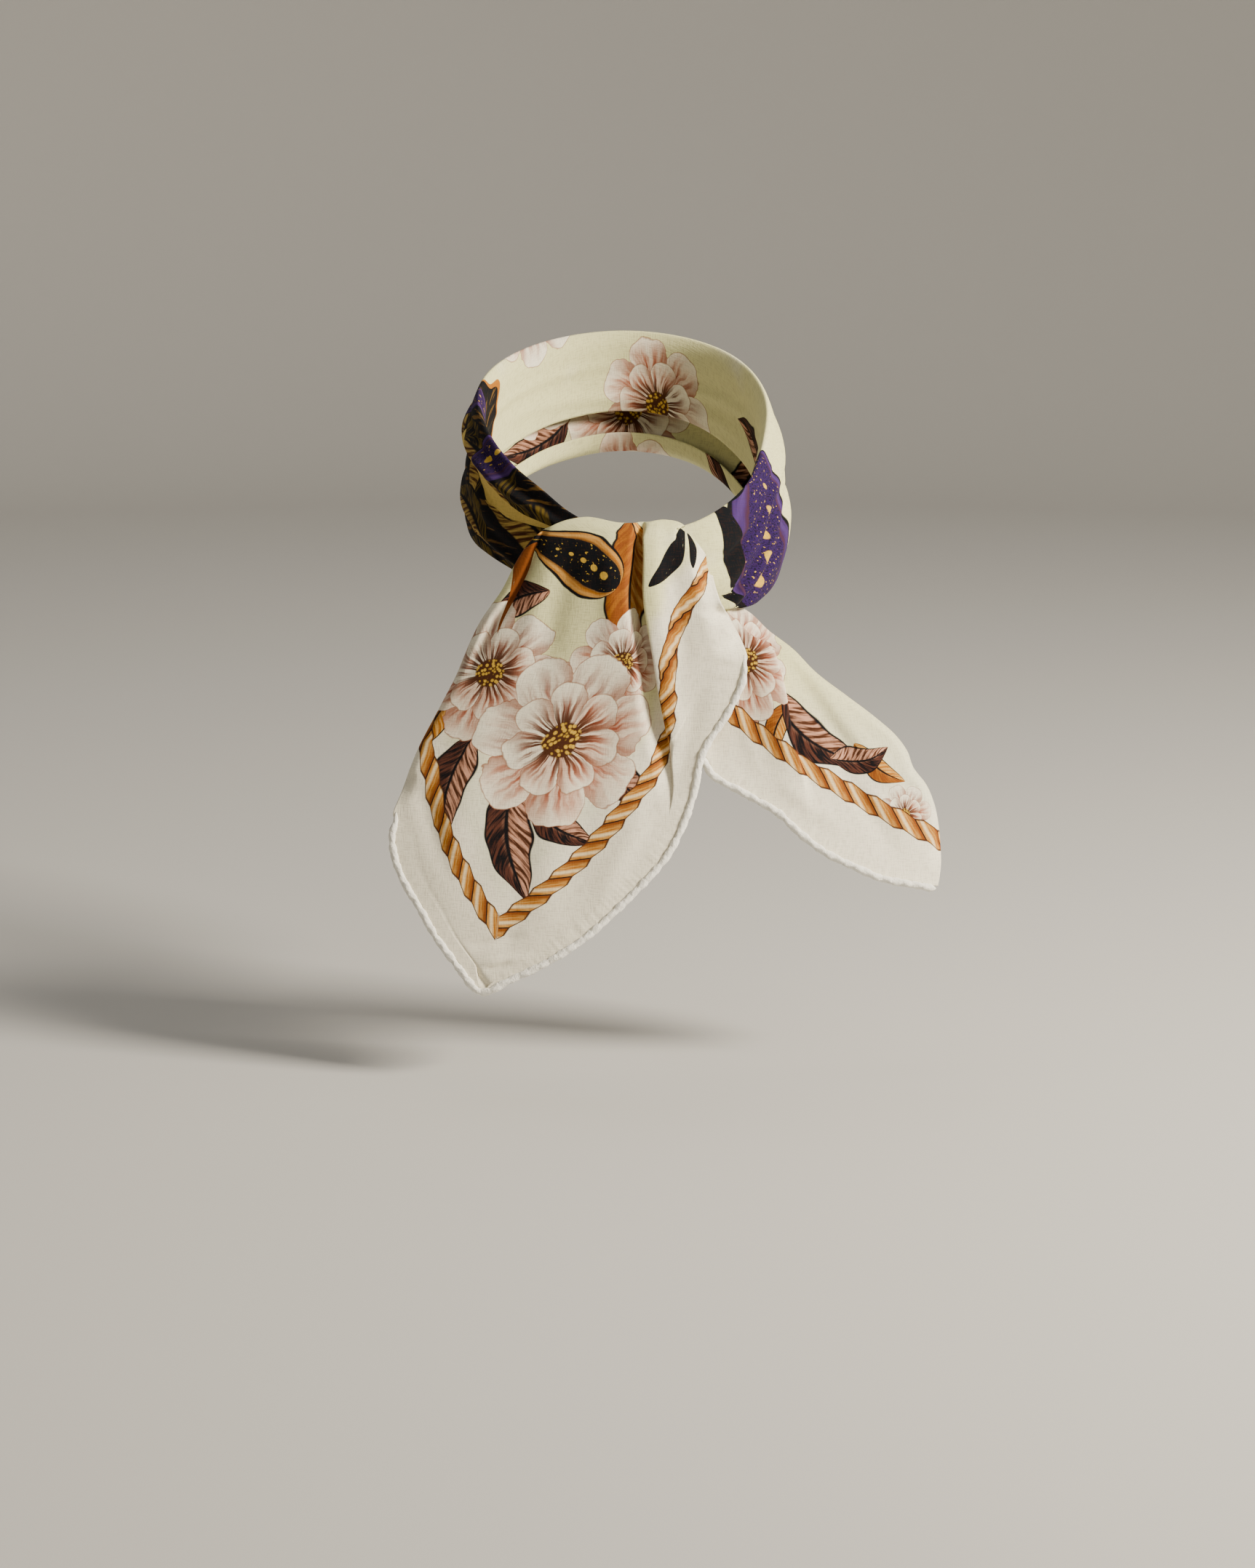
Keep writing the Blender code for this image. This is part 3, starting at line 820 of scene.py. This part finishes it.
WHITE = (0.84, 0.79, 0.64)
CREAM = (0.7, 0.68, 0.37)
OCHRE = (0.38, 0.135, 0.012)
GOLD = (0.58, 0.36, 0.045)
BUFF = (0.64, 0.36, 0.1)
RUST = (0.22, 0.06, 0.01)
UMBER = (0.06, 0.02, 0.008)
INK = (0.004, 0.005, 0.007)
VIOLET = (0.026, 0.01, 0.072)
LILAC = (0.08, 0.04, 0.165)
ROSE = (0.24, 0.048, 0.024)
PEACH = (0.66, 0.27, 0.15)
OLIVE = (0.2, 0.13, 0.015)
STRAW = (0.62, 0.45, 0.12)
OFF_WHITE = (0.78, 0.76, 0.64)
SEPIA = (0.3, 0.12, 0.07)
MAROON = (0.15, 0.05, 0.03)
DUSTY_PINK = (0.58, 0.3, 0.2)
OLD_GOLD = (0.46, 0.31, 0.08)
BRONZE = (0.16, 0.085, 0.02)
SHINE = (0.78, 0.6, 0.34)
HEM_SHADE = (0.82, 0.8, 0.71)
HEM_WHITE = (0.9, 0.88, 0.82)
PALE_GREY = (0.5, 0.49, 0.47)
COTTON = {"Roughness": 0.88, "Specular IOR Level": 0.08, "Sheen Weight": 0.02, "Sheen Roughness": 0.6}


def operator(operation, swapped=False):
    """An operator on values, as the node that works it out."""

    def work(value, *others):
        return value.graph.math(operation, *((*others, value) if swapped else (value, *others)))

    return work


class Value:
    """A value that comes out of a node, and that operators work on."""

    def __init__(self, graph, socket):
        self.graph, self.socket = graph, socket

    __add__ = __radd__ = operator("ADD")
    __sub__ = operator("SUBTRACT")
    __rsub__ = operator("SUBTRACT", swapped=True)
    __mul__ = __rmul__ = operator("MULTIPLY")
    __truediv__ = operator("DIVIDE")
    __pow__ = operator("POWER")
    __abs__ = operator("ABSOLUTE")


class Graph:
    """Adds nodes to a material's tree."""

    def __init__(self, tree):
        self.tree = tree

    def feed(self, node, inputs):
        """Sets a node's inputs, each to a value from another node, a colour or a plain number."""
        for key, value in inputs.items():
            if isinstance(value, Value):
                self.tree.links.new(value.socket, node.inputs[key])
            elif isinstance(value, tuple) and node.inputs[key].type == "RGBA":
                node.inputs[key].default_value = (*value, 1.0)
            else:
                node.inputs[key].default_value = value

    def node(self, kind, inputs, **settings):
        """The values that come out of a new node."""
        made = self.tree.nodes.new("ShaderNode" + kind)
        for name, value in settings.items():
            setattr(made, name, value)
        self.feed(made, inputs)
        return [Value(self, socket) for socket in made.outputs]

    def math(self, operation, *values):
        return self.node("Math", dict(enumerate(values)), operation=operation)[0]

    larger = partialmethod(math, "MAXIMUM")
    smaller = partialmethod(math, "MINIMUM")
    fraction = partialmethod(math, "FRACT")
    sine = partialmethod(math, "SINE")

    def streaks(self, x, y, low, high):
        """Streaks of paint, drawn out where x or y grows slowly."""
        return self.ramp(self.noise(self.joined(x, y), 1.0, 3.0), low, high)

    def wobble(self, chart, scale, detail):
        """Unevenness about 0, in the chart."""
        return self.noise(chart, scale, detail) - 0.5

    def ramp(self, value, low, high):
        inputs = {"Value": value, "From Min": low, "From Max": high}
        if low > high:
            inputs = {"Value": value, "From Min": high, "From Max": low, "To Min": 1.0, "To Max": 0.0}
        return self.node("MapRange", inputs, interpolation_type="SMOOTHSTEP")[0]

    def mix(self, share, low, high):
        return self.node("Mix", {0: share, 6: low, 7: high}, data_type="RGBA")[2]

    def nearer(self, share, low, high):
        return self.node("Mix", {0: share, 4: low, 5: high}, data_type="VECTOR")[1]

    def parts(self, vector):
        return self.node("SeparateXYZ", {0: vector})[:2]

    def joined(self, x, y):
        return self.node("CombineXYZ", {0: x, 1: y})[0]

    def length(self, vector):
        return self.node("VectorMath", {0: vector}, operation="LENGTH")[1]

    def stretch(self, vector, x, y):
        return self.node("VectorMath", {0: vector, 1: (x, y, 1.0)}, operation="MULTIPLY")[0]

    def noise(self, vector, scale, detail=2.0):
        return self.node("TexNoise", {"Vector": vector, "Scale": scale, "Detail": detail})[0]

    def object_place(self):
        """The place in the object's own frame, which is the fourth thing that the node gives."""
        return self.node("TexCoord", {})[3]

    def spots(self, vector, scale):
        return self.node("TexVoronoi", {"Vector": vector, "Scale": scale})[0]


def new_material(name):
    """A new material, and the graph of its nodes."""
    made = bpy.data.materials.new(name)
    made.use_nodes = True
    return made, Graph(made.node_tree)


def nearest_place(g, chart, places):
    """The chart as seen from the nearest of some places, each with its u, v, turn in degrees and size."""
    best, reach = None, None
    for u, v, turn, size in places:
        local = g.node(
            "Mapping",
            {
                "Vector": chart,
                "Location": (u * MM, v * MM, 0.0),
                "Rotation": (0.0, 0.0, math.radians(turn)),
                "Scale": (size * MM, size * MM, 1.0),
            },
            vector_type="TEXTURE",
        )[0]
        away = g.length(local)
        if best is None:
            best, reach = local, away
        else:
            best = g.nearer(g.math("LESS_THAN", away, reach), best, local)
            reach = g.smaller(away, reach)
    return best


def petals(g, colour, angle, radius, count, size, turn, streak):
    """A ring of painted petals over a colour, each lapping over the next, and the share it covers."""
    round_ring = angle * float(count) + turn
    place = g.fraction(round_ring)
    a = place - 0.5
    side = abs(a)
    notch = side**3.2 * (2.3 * size)
    inside = size - notch - radius
    share = g.ramp(inside, 0.0, 0.02)
    base = radius / size
    which = g.math("FLOOR", round_ring)
    blush = g.node("TexWhiteNoise", {"W": which + 0.5}, noise_dimensions="1D")[0]
    blush = g.ramp(blush, 0.35, 0.85) * g.ramp(base, 1.1, 0.5)
    petal = g.mix(blush * (0.3 + streak * 0.7), WHITE, PEACH)
    flush = g.ramp(base, 0.98, 0.5) * (0.16 + streak * 0.84)
    petal = g.mix(flush, petal, ROSE)
    petal = g.mix(g.ramp(a, 0.14, 0.5) * 0.75, petal, SEPIA)
    petal = g.mix(g.ramp(a, -0.32, -0.5) * 0.6, petal, WHITE)
    petal = g.mix(g.ramp(inside, 0.03, 0.012) * 0.85, petal, RUST)
    return g.mix(share, colour, petal), share


def bloom(g, local, chart):
    """A wide open flower with two rings of petals and a stippled heart."""
    wobble = g.wobble(chart, 90.0, 3.0)
    x, y = g.parts(local)
    angle = g.math("ARCTAN2", y, x) / TAU + wobble * 0.05
    radius = g.length(local) * (1.0 + wobble * 0.22)
    streak = g.streaks(angle * 52.0, radius * 1.6, 0.38, 0.66)
    colour, share = petals(g, ROSE, angle, radius, 7, 0.97, 0.0, streak)
    colour, _ = petals(g, colour, angle, radius, 7, 0.64, 0.5, streak)
    rays = g.ramp(radius, 0.52, 0.18) * g.ramp(streak, 0.1, 0.5)
    colour = g.mix(rays, colour, UMBER)
    grains = g.spots(local, 20.0)
    heart = g.mix(g.ramp(grains, 0.3, 0.55), GOLD, UMBER)
    colour = g.mix(g.ramp(radius, 0.21, 0.18), colour, heart)
    return colour, share


def blade(g, local, chart, half_width):
    """A bent blade one unit long. Returns its share, the place along it and the place across it."""
    x, y = g.parts(local)
    x = x + 0.5
    wobble = g.wobble(chart, 80.0, 0.0)
    y = y - g.sine(x * math.pi) * 0.12
    belly = g.sine(g.larger(x, 0.0001) ** 0.8 * math.pi)
    width = belly * (half_width + wobble * (0.7 * half_width))
    across = y / g.larger(width, 0.0001)
    within = g.ramp(x, 0.0, 0.02) * g.ramp(x, 1.0, 0.98)
    share = g.ramp(abs(across), 1.0, 0.93) * within
    return share, x, across


def leaf(g, local, chart, dark, dark_vein, light, light_vein):
    """A broad leaf, darker above its rib than below, with veins that run to its tip."""
    share, x, t = blade(g, local, chart, 0.21)
    side = abs(t)
    along_vein = x - side * 0.22
    streak = g.streaks(along_vein * 26.0, t * 1.1, 0.4, 0.62)
    upper = g.mix(streak * 0.6, dark, dark_vein)
    lower = g.mix(streak, light, light_vein)
    colour = g.mix(g.ramp(t, -0.25, 0.25), lower, upper)
    colour = g.mix(g.ramp(side, 0.12, 0.04), colour, INK)
    colour = g.mix(g.ramp(side, 0.82, 0.9), colour, INK)
    return colour, share


def brush_stroke(g, local, chart, ink, half_width):
    """One bold stroke of a brush, dry along its edge."""
    share, x, t = blade(g, local, chart, half_width)
    dry = g.streaks(x * 5.0, t * 7.0, 0.66, 0.72)
    return ink, share * (1.0 - dry * g.ramp(t, 0.0, 0.6))


def drop_motif(g, local, chart, body, rim, light, fleck):
    """A paisley drop with a curled tail: a dark outline, a rim, a stippled body and a row of dots."""
    x, y = g.parts(local)
    wobble = g.wobble(chart, 100.0, 2.0)
    up = g.larger(y, 0.0)
    x = x - up**1.7 * 0.42
    taper = 1.0 - g.ramp(y, 0.0, 1.02)
    low = g.smaller(y, 0.0) / 0.42
    round_end = g.math("SQRT", g.larger(1.0 - low * low, 0.0001))
    width = g.larger(taper * round_end * 0.42, 0.0005)
    t = abs(x) / width + wobble * 0.16
    share = g.ramp(t, 1.0, 0.96) * (g.ramp(y, 1.0, 0.97) * g.ramp(y, -0.42, -0.415))
    strokes = g.streaks(t * 7.0, y * 2.0, 0.3, 0.7)
    edge = g.mix(strokes * 0.8, rim, light)
    edge = g.mix(g.ramp(t, 0.72, 0.6) * 0.7, edge, UMBER)
    stipple = g.ramp(g.noise(chart, 1500.0, 1.0), 0.5, 0.62)
    middle = g.mix(stipple * 0.8, body, INK)
    flecks = g.ramp(g.noise(chart, 700.0, 1.0), 0.66, 0.72) * 0.8
    middle = g.mix(flecks, middle, fleck)
    colour = g.mix(g.ramp(t, 0.62, 0.58), edge, middle)
    colour = g.mix(g.ramp(t, 0.86, 0.9), colour, INK)
    row = g.fraction(y * 7.0) - 0.5
    from_dot = g.length(g.joined(x, row * (1 / 7.0)))
    size = (0.78 - y) * 0.052
    dots = g.ramp(size - from_dot, 0.0, 0.008) * g.ramp(y, -0.27, -0.25)
    return g.mix(dots, colour, fleck), share


def rope(g, hem):
    """A painted two-strand rope along the hem."""
    away, along = g.parts(hem)
    across = (away - ROPE_FROM_HEM) * (1 / ROPE_HALF_WIDTH)
    turn = along * (1 / ROPE_PITCH) + across * 0.52
    strand = g.fraction(turn)
    from_middle = abs(strand - 0.5)
    edge = 1.05 - from_middle * 0.55
    inside = edge - abs(across)
    share = g.ramp(inside, 0.0, 0.08)
    streak = g.streaks(strand * 9.0, across * 1.3, 0.35, 0.7)
    colour = g.mix(streak * 0.8, OCHRE, BUFF)
    shine = g.ramp(strand, 0.5, 0.34) * g.ramp(strand, 0.16, 0.28)
    colour = g.mix(shine, colour, SHINE)
    colour = g.mix(g.ramp(strand, 0.56, 0.92), colour, RUST)
    colour = g.mix(g.ramp(from_middle, 0.445, 0.48), colour, INK)
    colour = g.mix(g.ramp(inside, 0.22, 0.1), colour, UMBER)
    return colour, share


# Each kind of motif, as the function that paints it and what it is given.
MOTIFS = {
    "bloom": (bloom, ()),
    "dark_leaf": (leaf, (INK, MAROON, UMBER, DUSTY_PINK)),
    "gold_leaf": (leaf, (INK, OLIVE, UMBER, OLD_GOLD)),
    "ochre_leaf": (leaf, (RUST, OCHRE, OCHRE, BUFF)),
    "violet_drop": (drop_motif, (VIOLET, VIOLET, LILAC, GOLD)),
    "ochre_drop": (drop_motif, (INK, OCHRE, BUFF, GOLD)),
    "ink_stroke": (brush_stroke, (INK, 0.13)),
    "straw_stroke": (brush_stroke, (STRAW, 0.045)),
    "rust_stroke": (brush_stroke, (RUST, 0.07)),
}

# What the print holds on each stretch, in the order it is painted: a kind, and for each motif of the kind
# its place u and v, its turn in degrees and its size.
WIDE_PRINT = (
    ("ochre_leaf", ((-3, 30, 96, 64), (-80, 84, 110, 30))),
    ("dark_leaf", ((-40, 128, 84, 52), (-2, 100, 40, 40), (-58, 37, 150, 32))),
    ("dark_leaf", ((-66, 106, 100, 42), (-24, 120, 34, 34))),
    ("bloom", ((-64, 62, 30, 29), (-12, 57, 50, 22))),
    ("bloom", ((-29, 88, 10, 37),)),
    ("ochre_drop", ((-28, 18, 128, 34), (34, 62, 200, 14))),
    ("rust_stroke", ((-52, 22, 116, 56),)),
    ("ink_stroke", ((17, 13, -62, 32), (18, 52, -84, 20))),
    ("ink_stroke", ((27, 13, -100, 15),)),
)
UNDER_PRINT = (
    ("ochre_leaf", ((364, 82, 110, 24), (406, 96, 40, 24))),
    ("dark_leaf", ((382, 82, 40, 46),)),
    ("dark_leaf", ((398, 92, -8, 26), (352, 84, 100, 22))),
    ("rust_stroke", ((346, 40, 62, 50),)),
    ("bloom", ((350, 56, 0, 24), (414, 116, 20, 12))),
)
BAND_PRINT = (
    ("dark_leaf", ((150, -6, 40, 50), (250, -20, 20, 40), (120, -78, 0, 44))),
    ("gold_leaf", ((368, 8, 205, 50), (322, -20, 226, 46))),
    ("gold_leaf", ((344, -12, 214, 54), (336, 26, 196, 44))),
    ("gold_leaf", ((330, 6, 204, 46), (360, 30, 190, 36))),
    ("straw_stroke", ((354, -13, 26, 78),)),
    ("bloom", ((205, -30, 0, 30), (190, -95, 0, 30))),
    ("bloom", ((250, -44, 0, 26),)),
    ("violet_drop", ((67, 14, 199, 66), (318, -52, 60, 30), (160, 40, 95, 30))),
    ("violet_drop", ((351, -25, 230, 34),)),
    ("ink_stroke", ((40, 9, -98, 40), (118, -20, -70, 36))),
    ("ink_stroke", ((52, -16, -62, 24), (136, -24, -100, 30))),
    ("ink_stroke", ((47, 36, -150, 20), (124, 8, -50, 28))),
)


def weave(g, chart):
    """Height of the plain weave, as its uneven threads both ways. Where it is low, the print also darkens the
    colour, as painted shade.
    """
    down = g.noise(g.stretch(chart, 2000.0, 260.0), 1.0, 1.0)
    across = g.noise(g.stretch(chart, 260.0, 2000.0), 1.0, 1.0)
    return down * 0.5 + across * 0.5


def pucker(g, hem):
    """Height of the small gathers that the hem's stitches leave beside it."""
    away = g.parts(hem)[0]
    waves = g.noise(g.stretch(hem, 60.0, 300.0), 1.0, 1.0)
    return g.ramp(away, 0.008, 0.001) * waves


def finish_cotton(g, colour, height, depth):
    """A matte cotton surface with a colour and a relief."""
    shader = g.tree.nodes["Principled BSDF"]
    relief = g.node("Bump", {"Height": height, "Strength": 0.6, "Distance": depth})[0]
    g.feed(shader, {**COTTON, "Base Color": colour, "Normal": relief})


def print_material(name, prints, ground):
    """Printed cotton voile: a painted ground, its motifs, a rope, and a white border at the hem."""
    made, g = new_material(name)
    chart = g.node("UVMap", {}, uv_map="chart")[0]
    hem = g.node("UVMap", {}, uv_map="hem")[0]
    away = g.parts(hem)[0]
    uneven = g.wobble(chart, 60.0, 2.0) * 0.012
    colour = g.mix(g.ramp(away + uneven, 0.034, 0.027), ground(g, chart), WHITE)
    inside_rope = g.ramp(away, ROPE_FROM_HEM - 0.001, ROPE_FROM_HEM + 0.001)
    for kind, places in prints:
        local = nearest_place(g, chart, places)
        paint, settings = MOTIFS[kind]
        ink, share = paint(g, local, chart, *settings)
        colour = g.mix(share * inside_rope, colour, ink)
    ink, share = rope(g, hem)
    colour = g.mix(share, colour, ink)
    threads = weave(g, chart)
    # Painted shade: the colour darkens toward umber where the weave's threads sit low, in the dips of its
    # relief. It also brings out the grain of the threads.
    colour = g.mix(g.ramp(threads, 0.53, 0.38) * 0.16, colour, UMBER)
    finish_cotton(g, colour, threads * 0.28 + pucker(g, hem) * 0.9, 0.001)
    return made


def cream_ground(g, chart):
    """Off-white with washes of pale yellow green."""
    wash = g.ramp(g.noise(chart, 22.0, 2.0), 0.18, 0.44)
    upper = g.ramp(g.parts(chart)[1], 0.12, 0.045)
    return g.mix(wash * (0.25 + upper * 0.75), OFF_WHITE, CREAM)


def band_ground(g, chart):
    """Cream, but dark with gold brush strokes on the left side of the neck, behind a gold line. The dark is
    print, and also painted shade for the side away from the key light.
    """
    brush = g.noise(g.stretch(chart, 60.0, 420.0), 1.0, 4.0)
    strokes = g.mix(g.ramp(brush, 0.56, 0.66), INK, BRONZE)
    wave = g.wobble(chart, 38.0, 0.5) * 0.06
    edge = g.parts(chart)[0] + wave
    colour = g.mix(g.ramp(edge, 0.2925, 0.293), cream_ground(g, chart), OCHRE)
    # Print and painted shade: the dark ground and its strokes cover the left side of the neck, which faces
    # away from the key light.
    return g.mix(g.ramp(edge, 0.2955, 0.296), colour, strokes)


def hem_material():
    """White rolled cotton, soft and a little fluffy."""
    made, g = new_material("rolled_hem_cotton")
    place = g.object_place()
    fluff = g.noise(place, 1400.0, 4.0)
    tint = g.noise(place, 90.0, 2.0)
    finish_cotton(g, g.mix(tint, HEM_SHADE, HEM_WHITE), fluff, 0.0006)
    return made


# Setting


def plain_material(name, colour, roughness):
    made, g = new_material(name)
    shader = g.tree.nodes["Principled BSDF"]
    place = g.object_place()
    tone = g.mix(g.noise(place, 3.0, 2.0), tuple(0.97 * c for c in colour), colour)
    g.feed(shader, {"Base Color": tone, "Roughness": roughness})
    return made


def add_sweep():
    """A pale round floor that curves up into a low backdrop on all sides."""
    around = 96
    profile = [(FLOOR_RADIUS + WALL_BEND, WALL_TOP)]
    for turn in np.radians(np.linspace(90, 0, 16)):
        radius = FLOOR_RADIUS + WALL_BEND * math.sin(turn)
        profile.append((radius, FLOOR + WALL_BEND * (1 - math.cos(turn))))
    profile.append((0.5, FLOOR))
    angles = np.linspace(0, TAU, around, endpoint=False)
    points = np.array([(r * math.cos(a), r * math.sin(a), z) for r, z in profile for a in angles]) / MM
    faces = quads(len(profile), around, closed=True)
    faces.append(tuple(range((len(profile) - 1) * around, len(profile) * around)))
    piece = new_piece("studio_sweep", points, faces, plain_material("sweep", PALE_GREY, 0.9))


def add_lamp(name, kind, towards, power, colour):
    """A lamp that shines from a direction. Returns its object."""
    light = bpy.data.lights.new(name, kind)
    light.energy = power
    light.color = colour
    lamp = new_object(name, light)
    x, y, z = towards
    lamp.rotation_euler = (math.atan2(math.hypot(x, y), z), 0.0, math.atan2(x, -y))
    return lamp


def add_light(name, place, size, power, colour):
    """A square lamp, aimed at the scarf."""
    lamp = add_lamp(name, "AREA", np.array(place) - np.array(LIGHT_AIM), power, colour)
    lamp.location = place
    lamp.data.size = size


def add_daylight(name, towards, softness, strength):
    """Broad light from one direction, even over the scarf and the backdrop."""
    lamp = add_lamp(name, "SUN", towards, strength, DAYLIGHT)
    lamp.data.angle = softness


def add_camera():
    camera = bpy.data.cameras.new("camera")
    camera.sensor_fit = "VERTICAL"
    camera.sensor_height = CAMERA_SENSOR
    camera.lens = CAMERA_LENS
    camera.clip_start = 0.01
    holder = new_object("camera", camera)
    holder.location = CAMERA_PLACE
    holder.rotation_euler = (math.pi / 2 - CAMERA_DOWN, 0.0, 0.0)
    bpy.context.scene.camera = holder


def add_setting():
    add_sweep()
    add_light("key", (1.15, -0.5, 0.7), 0.4, 56.0, (1.0, 0.91, 0.76))
    add_light("fill", (-1.0, -1.3, 0.35), 1.4, 0.5, (1.0, 0.95, 0.87))
    add_light("top", (-0.2, 0.7, 1.4), 1.0, 6.0, (1.0, 0.99, 0.97))
    add_daylight("front_daylight", (0.8, -0.65, 0.9), 1.1, 0.62)
    add_daylight("back_daylight", (-0.3, 0.9, 0.6), 1.3, 0.5)
    world = bpy.data.worlds.new("studio")
    world.use_nodes = True
    background = world.node_tree.nodes["Background"]
    background.inputs[0].default_value = (*SKY, 1.0)
    background.inputs[1].default_value = SKY_STRENGTH
    bpy.context.scene.world = world


# The scarf


def add_band(band, band_chart):
    far_from_hem = np.full((*band.shape[:2], 2), 200.0)
    surface = print_material("band_print", BAND_PRINT, band_ground)
    nodes = ("right_band", "nape_band", "left_band")
    band_piece = cloth("band_cloth", band, band_chart, far_from_hem, surface, nodes)
    return band_piece


def add_wide_end(band, hem_cloth):
    wide, wide_chart, edge_row, drops = wide_grids(band_surface(band))
    front, front_chart = wide[edge_row:], wide_chart[edge_row:]
    left, right = drops > LEFT_HEM_DROP - 5, drops > RIGHT_HEM_DROP - 5
    down = hem_path(front[left, 0], front[left, 1])
    up = hem_path(front[right, -1], front[right, -2])[::-1]
    corner = (down[-1] + up[0]) / 2 + np.array(HEM_CORNER)
    path = np.concatenate([down, [corner], up])
    hem = rolled_hem("wide_end_rolled_hem", path, hem_cloth, "wide_end_hem", (8.0, 8.0))
    left, right = drops > LEFT_HEM_DROP + 3, drops > RIGHT_HEM_DROP + 5
    edge = np.concatenate([gentle(front_chart[left, 0]), gentle(front_chart[right, -1][::-1])])
    hem_chart = from_hem(wide_chart, edge, 60)
    surface = print_material("wide_end_print", WIDE_PRINT, cream_ground)
    nodes = ("tie_front", "tie_riser", "wide_end")
    wide_piece = cloth("wide_end_cloth", wide, wide_chart, hem_chart, surface, nodes)


def add_under_end(hem_cloth):
    under, under_chart, drops = under_grids()
    lower = drops > UNDER_HEM_DROP - 3
    path = hem_path(under[lower, 0], under[lower, 1])
    hem = rolled_hem("under_end_rolled_hem", path, hem_cloth, "under_end_hem", (4.0, 2.5))
    hem_chart = from_hem(under_chart, gentle(under_chart[lower, 0]), 0)
    surface = print_material("under_end_print", UNDER_PRINT, cream_ground)
    nodes = ("under_end",)
    under_piece = cloth("under_end_cloth", under, under_chart, hem_chart, surface, nodes)


def build_scarf():
    band, band_chart = band_grids()
    band_piece = add_band(band, band_chart)
    hem_cloth = hem_material()
    add_wide_end(band, hem_cloth)
    add_under_end(hem_cloth)


add_camera()
build_scarf()
add_setting()
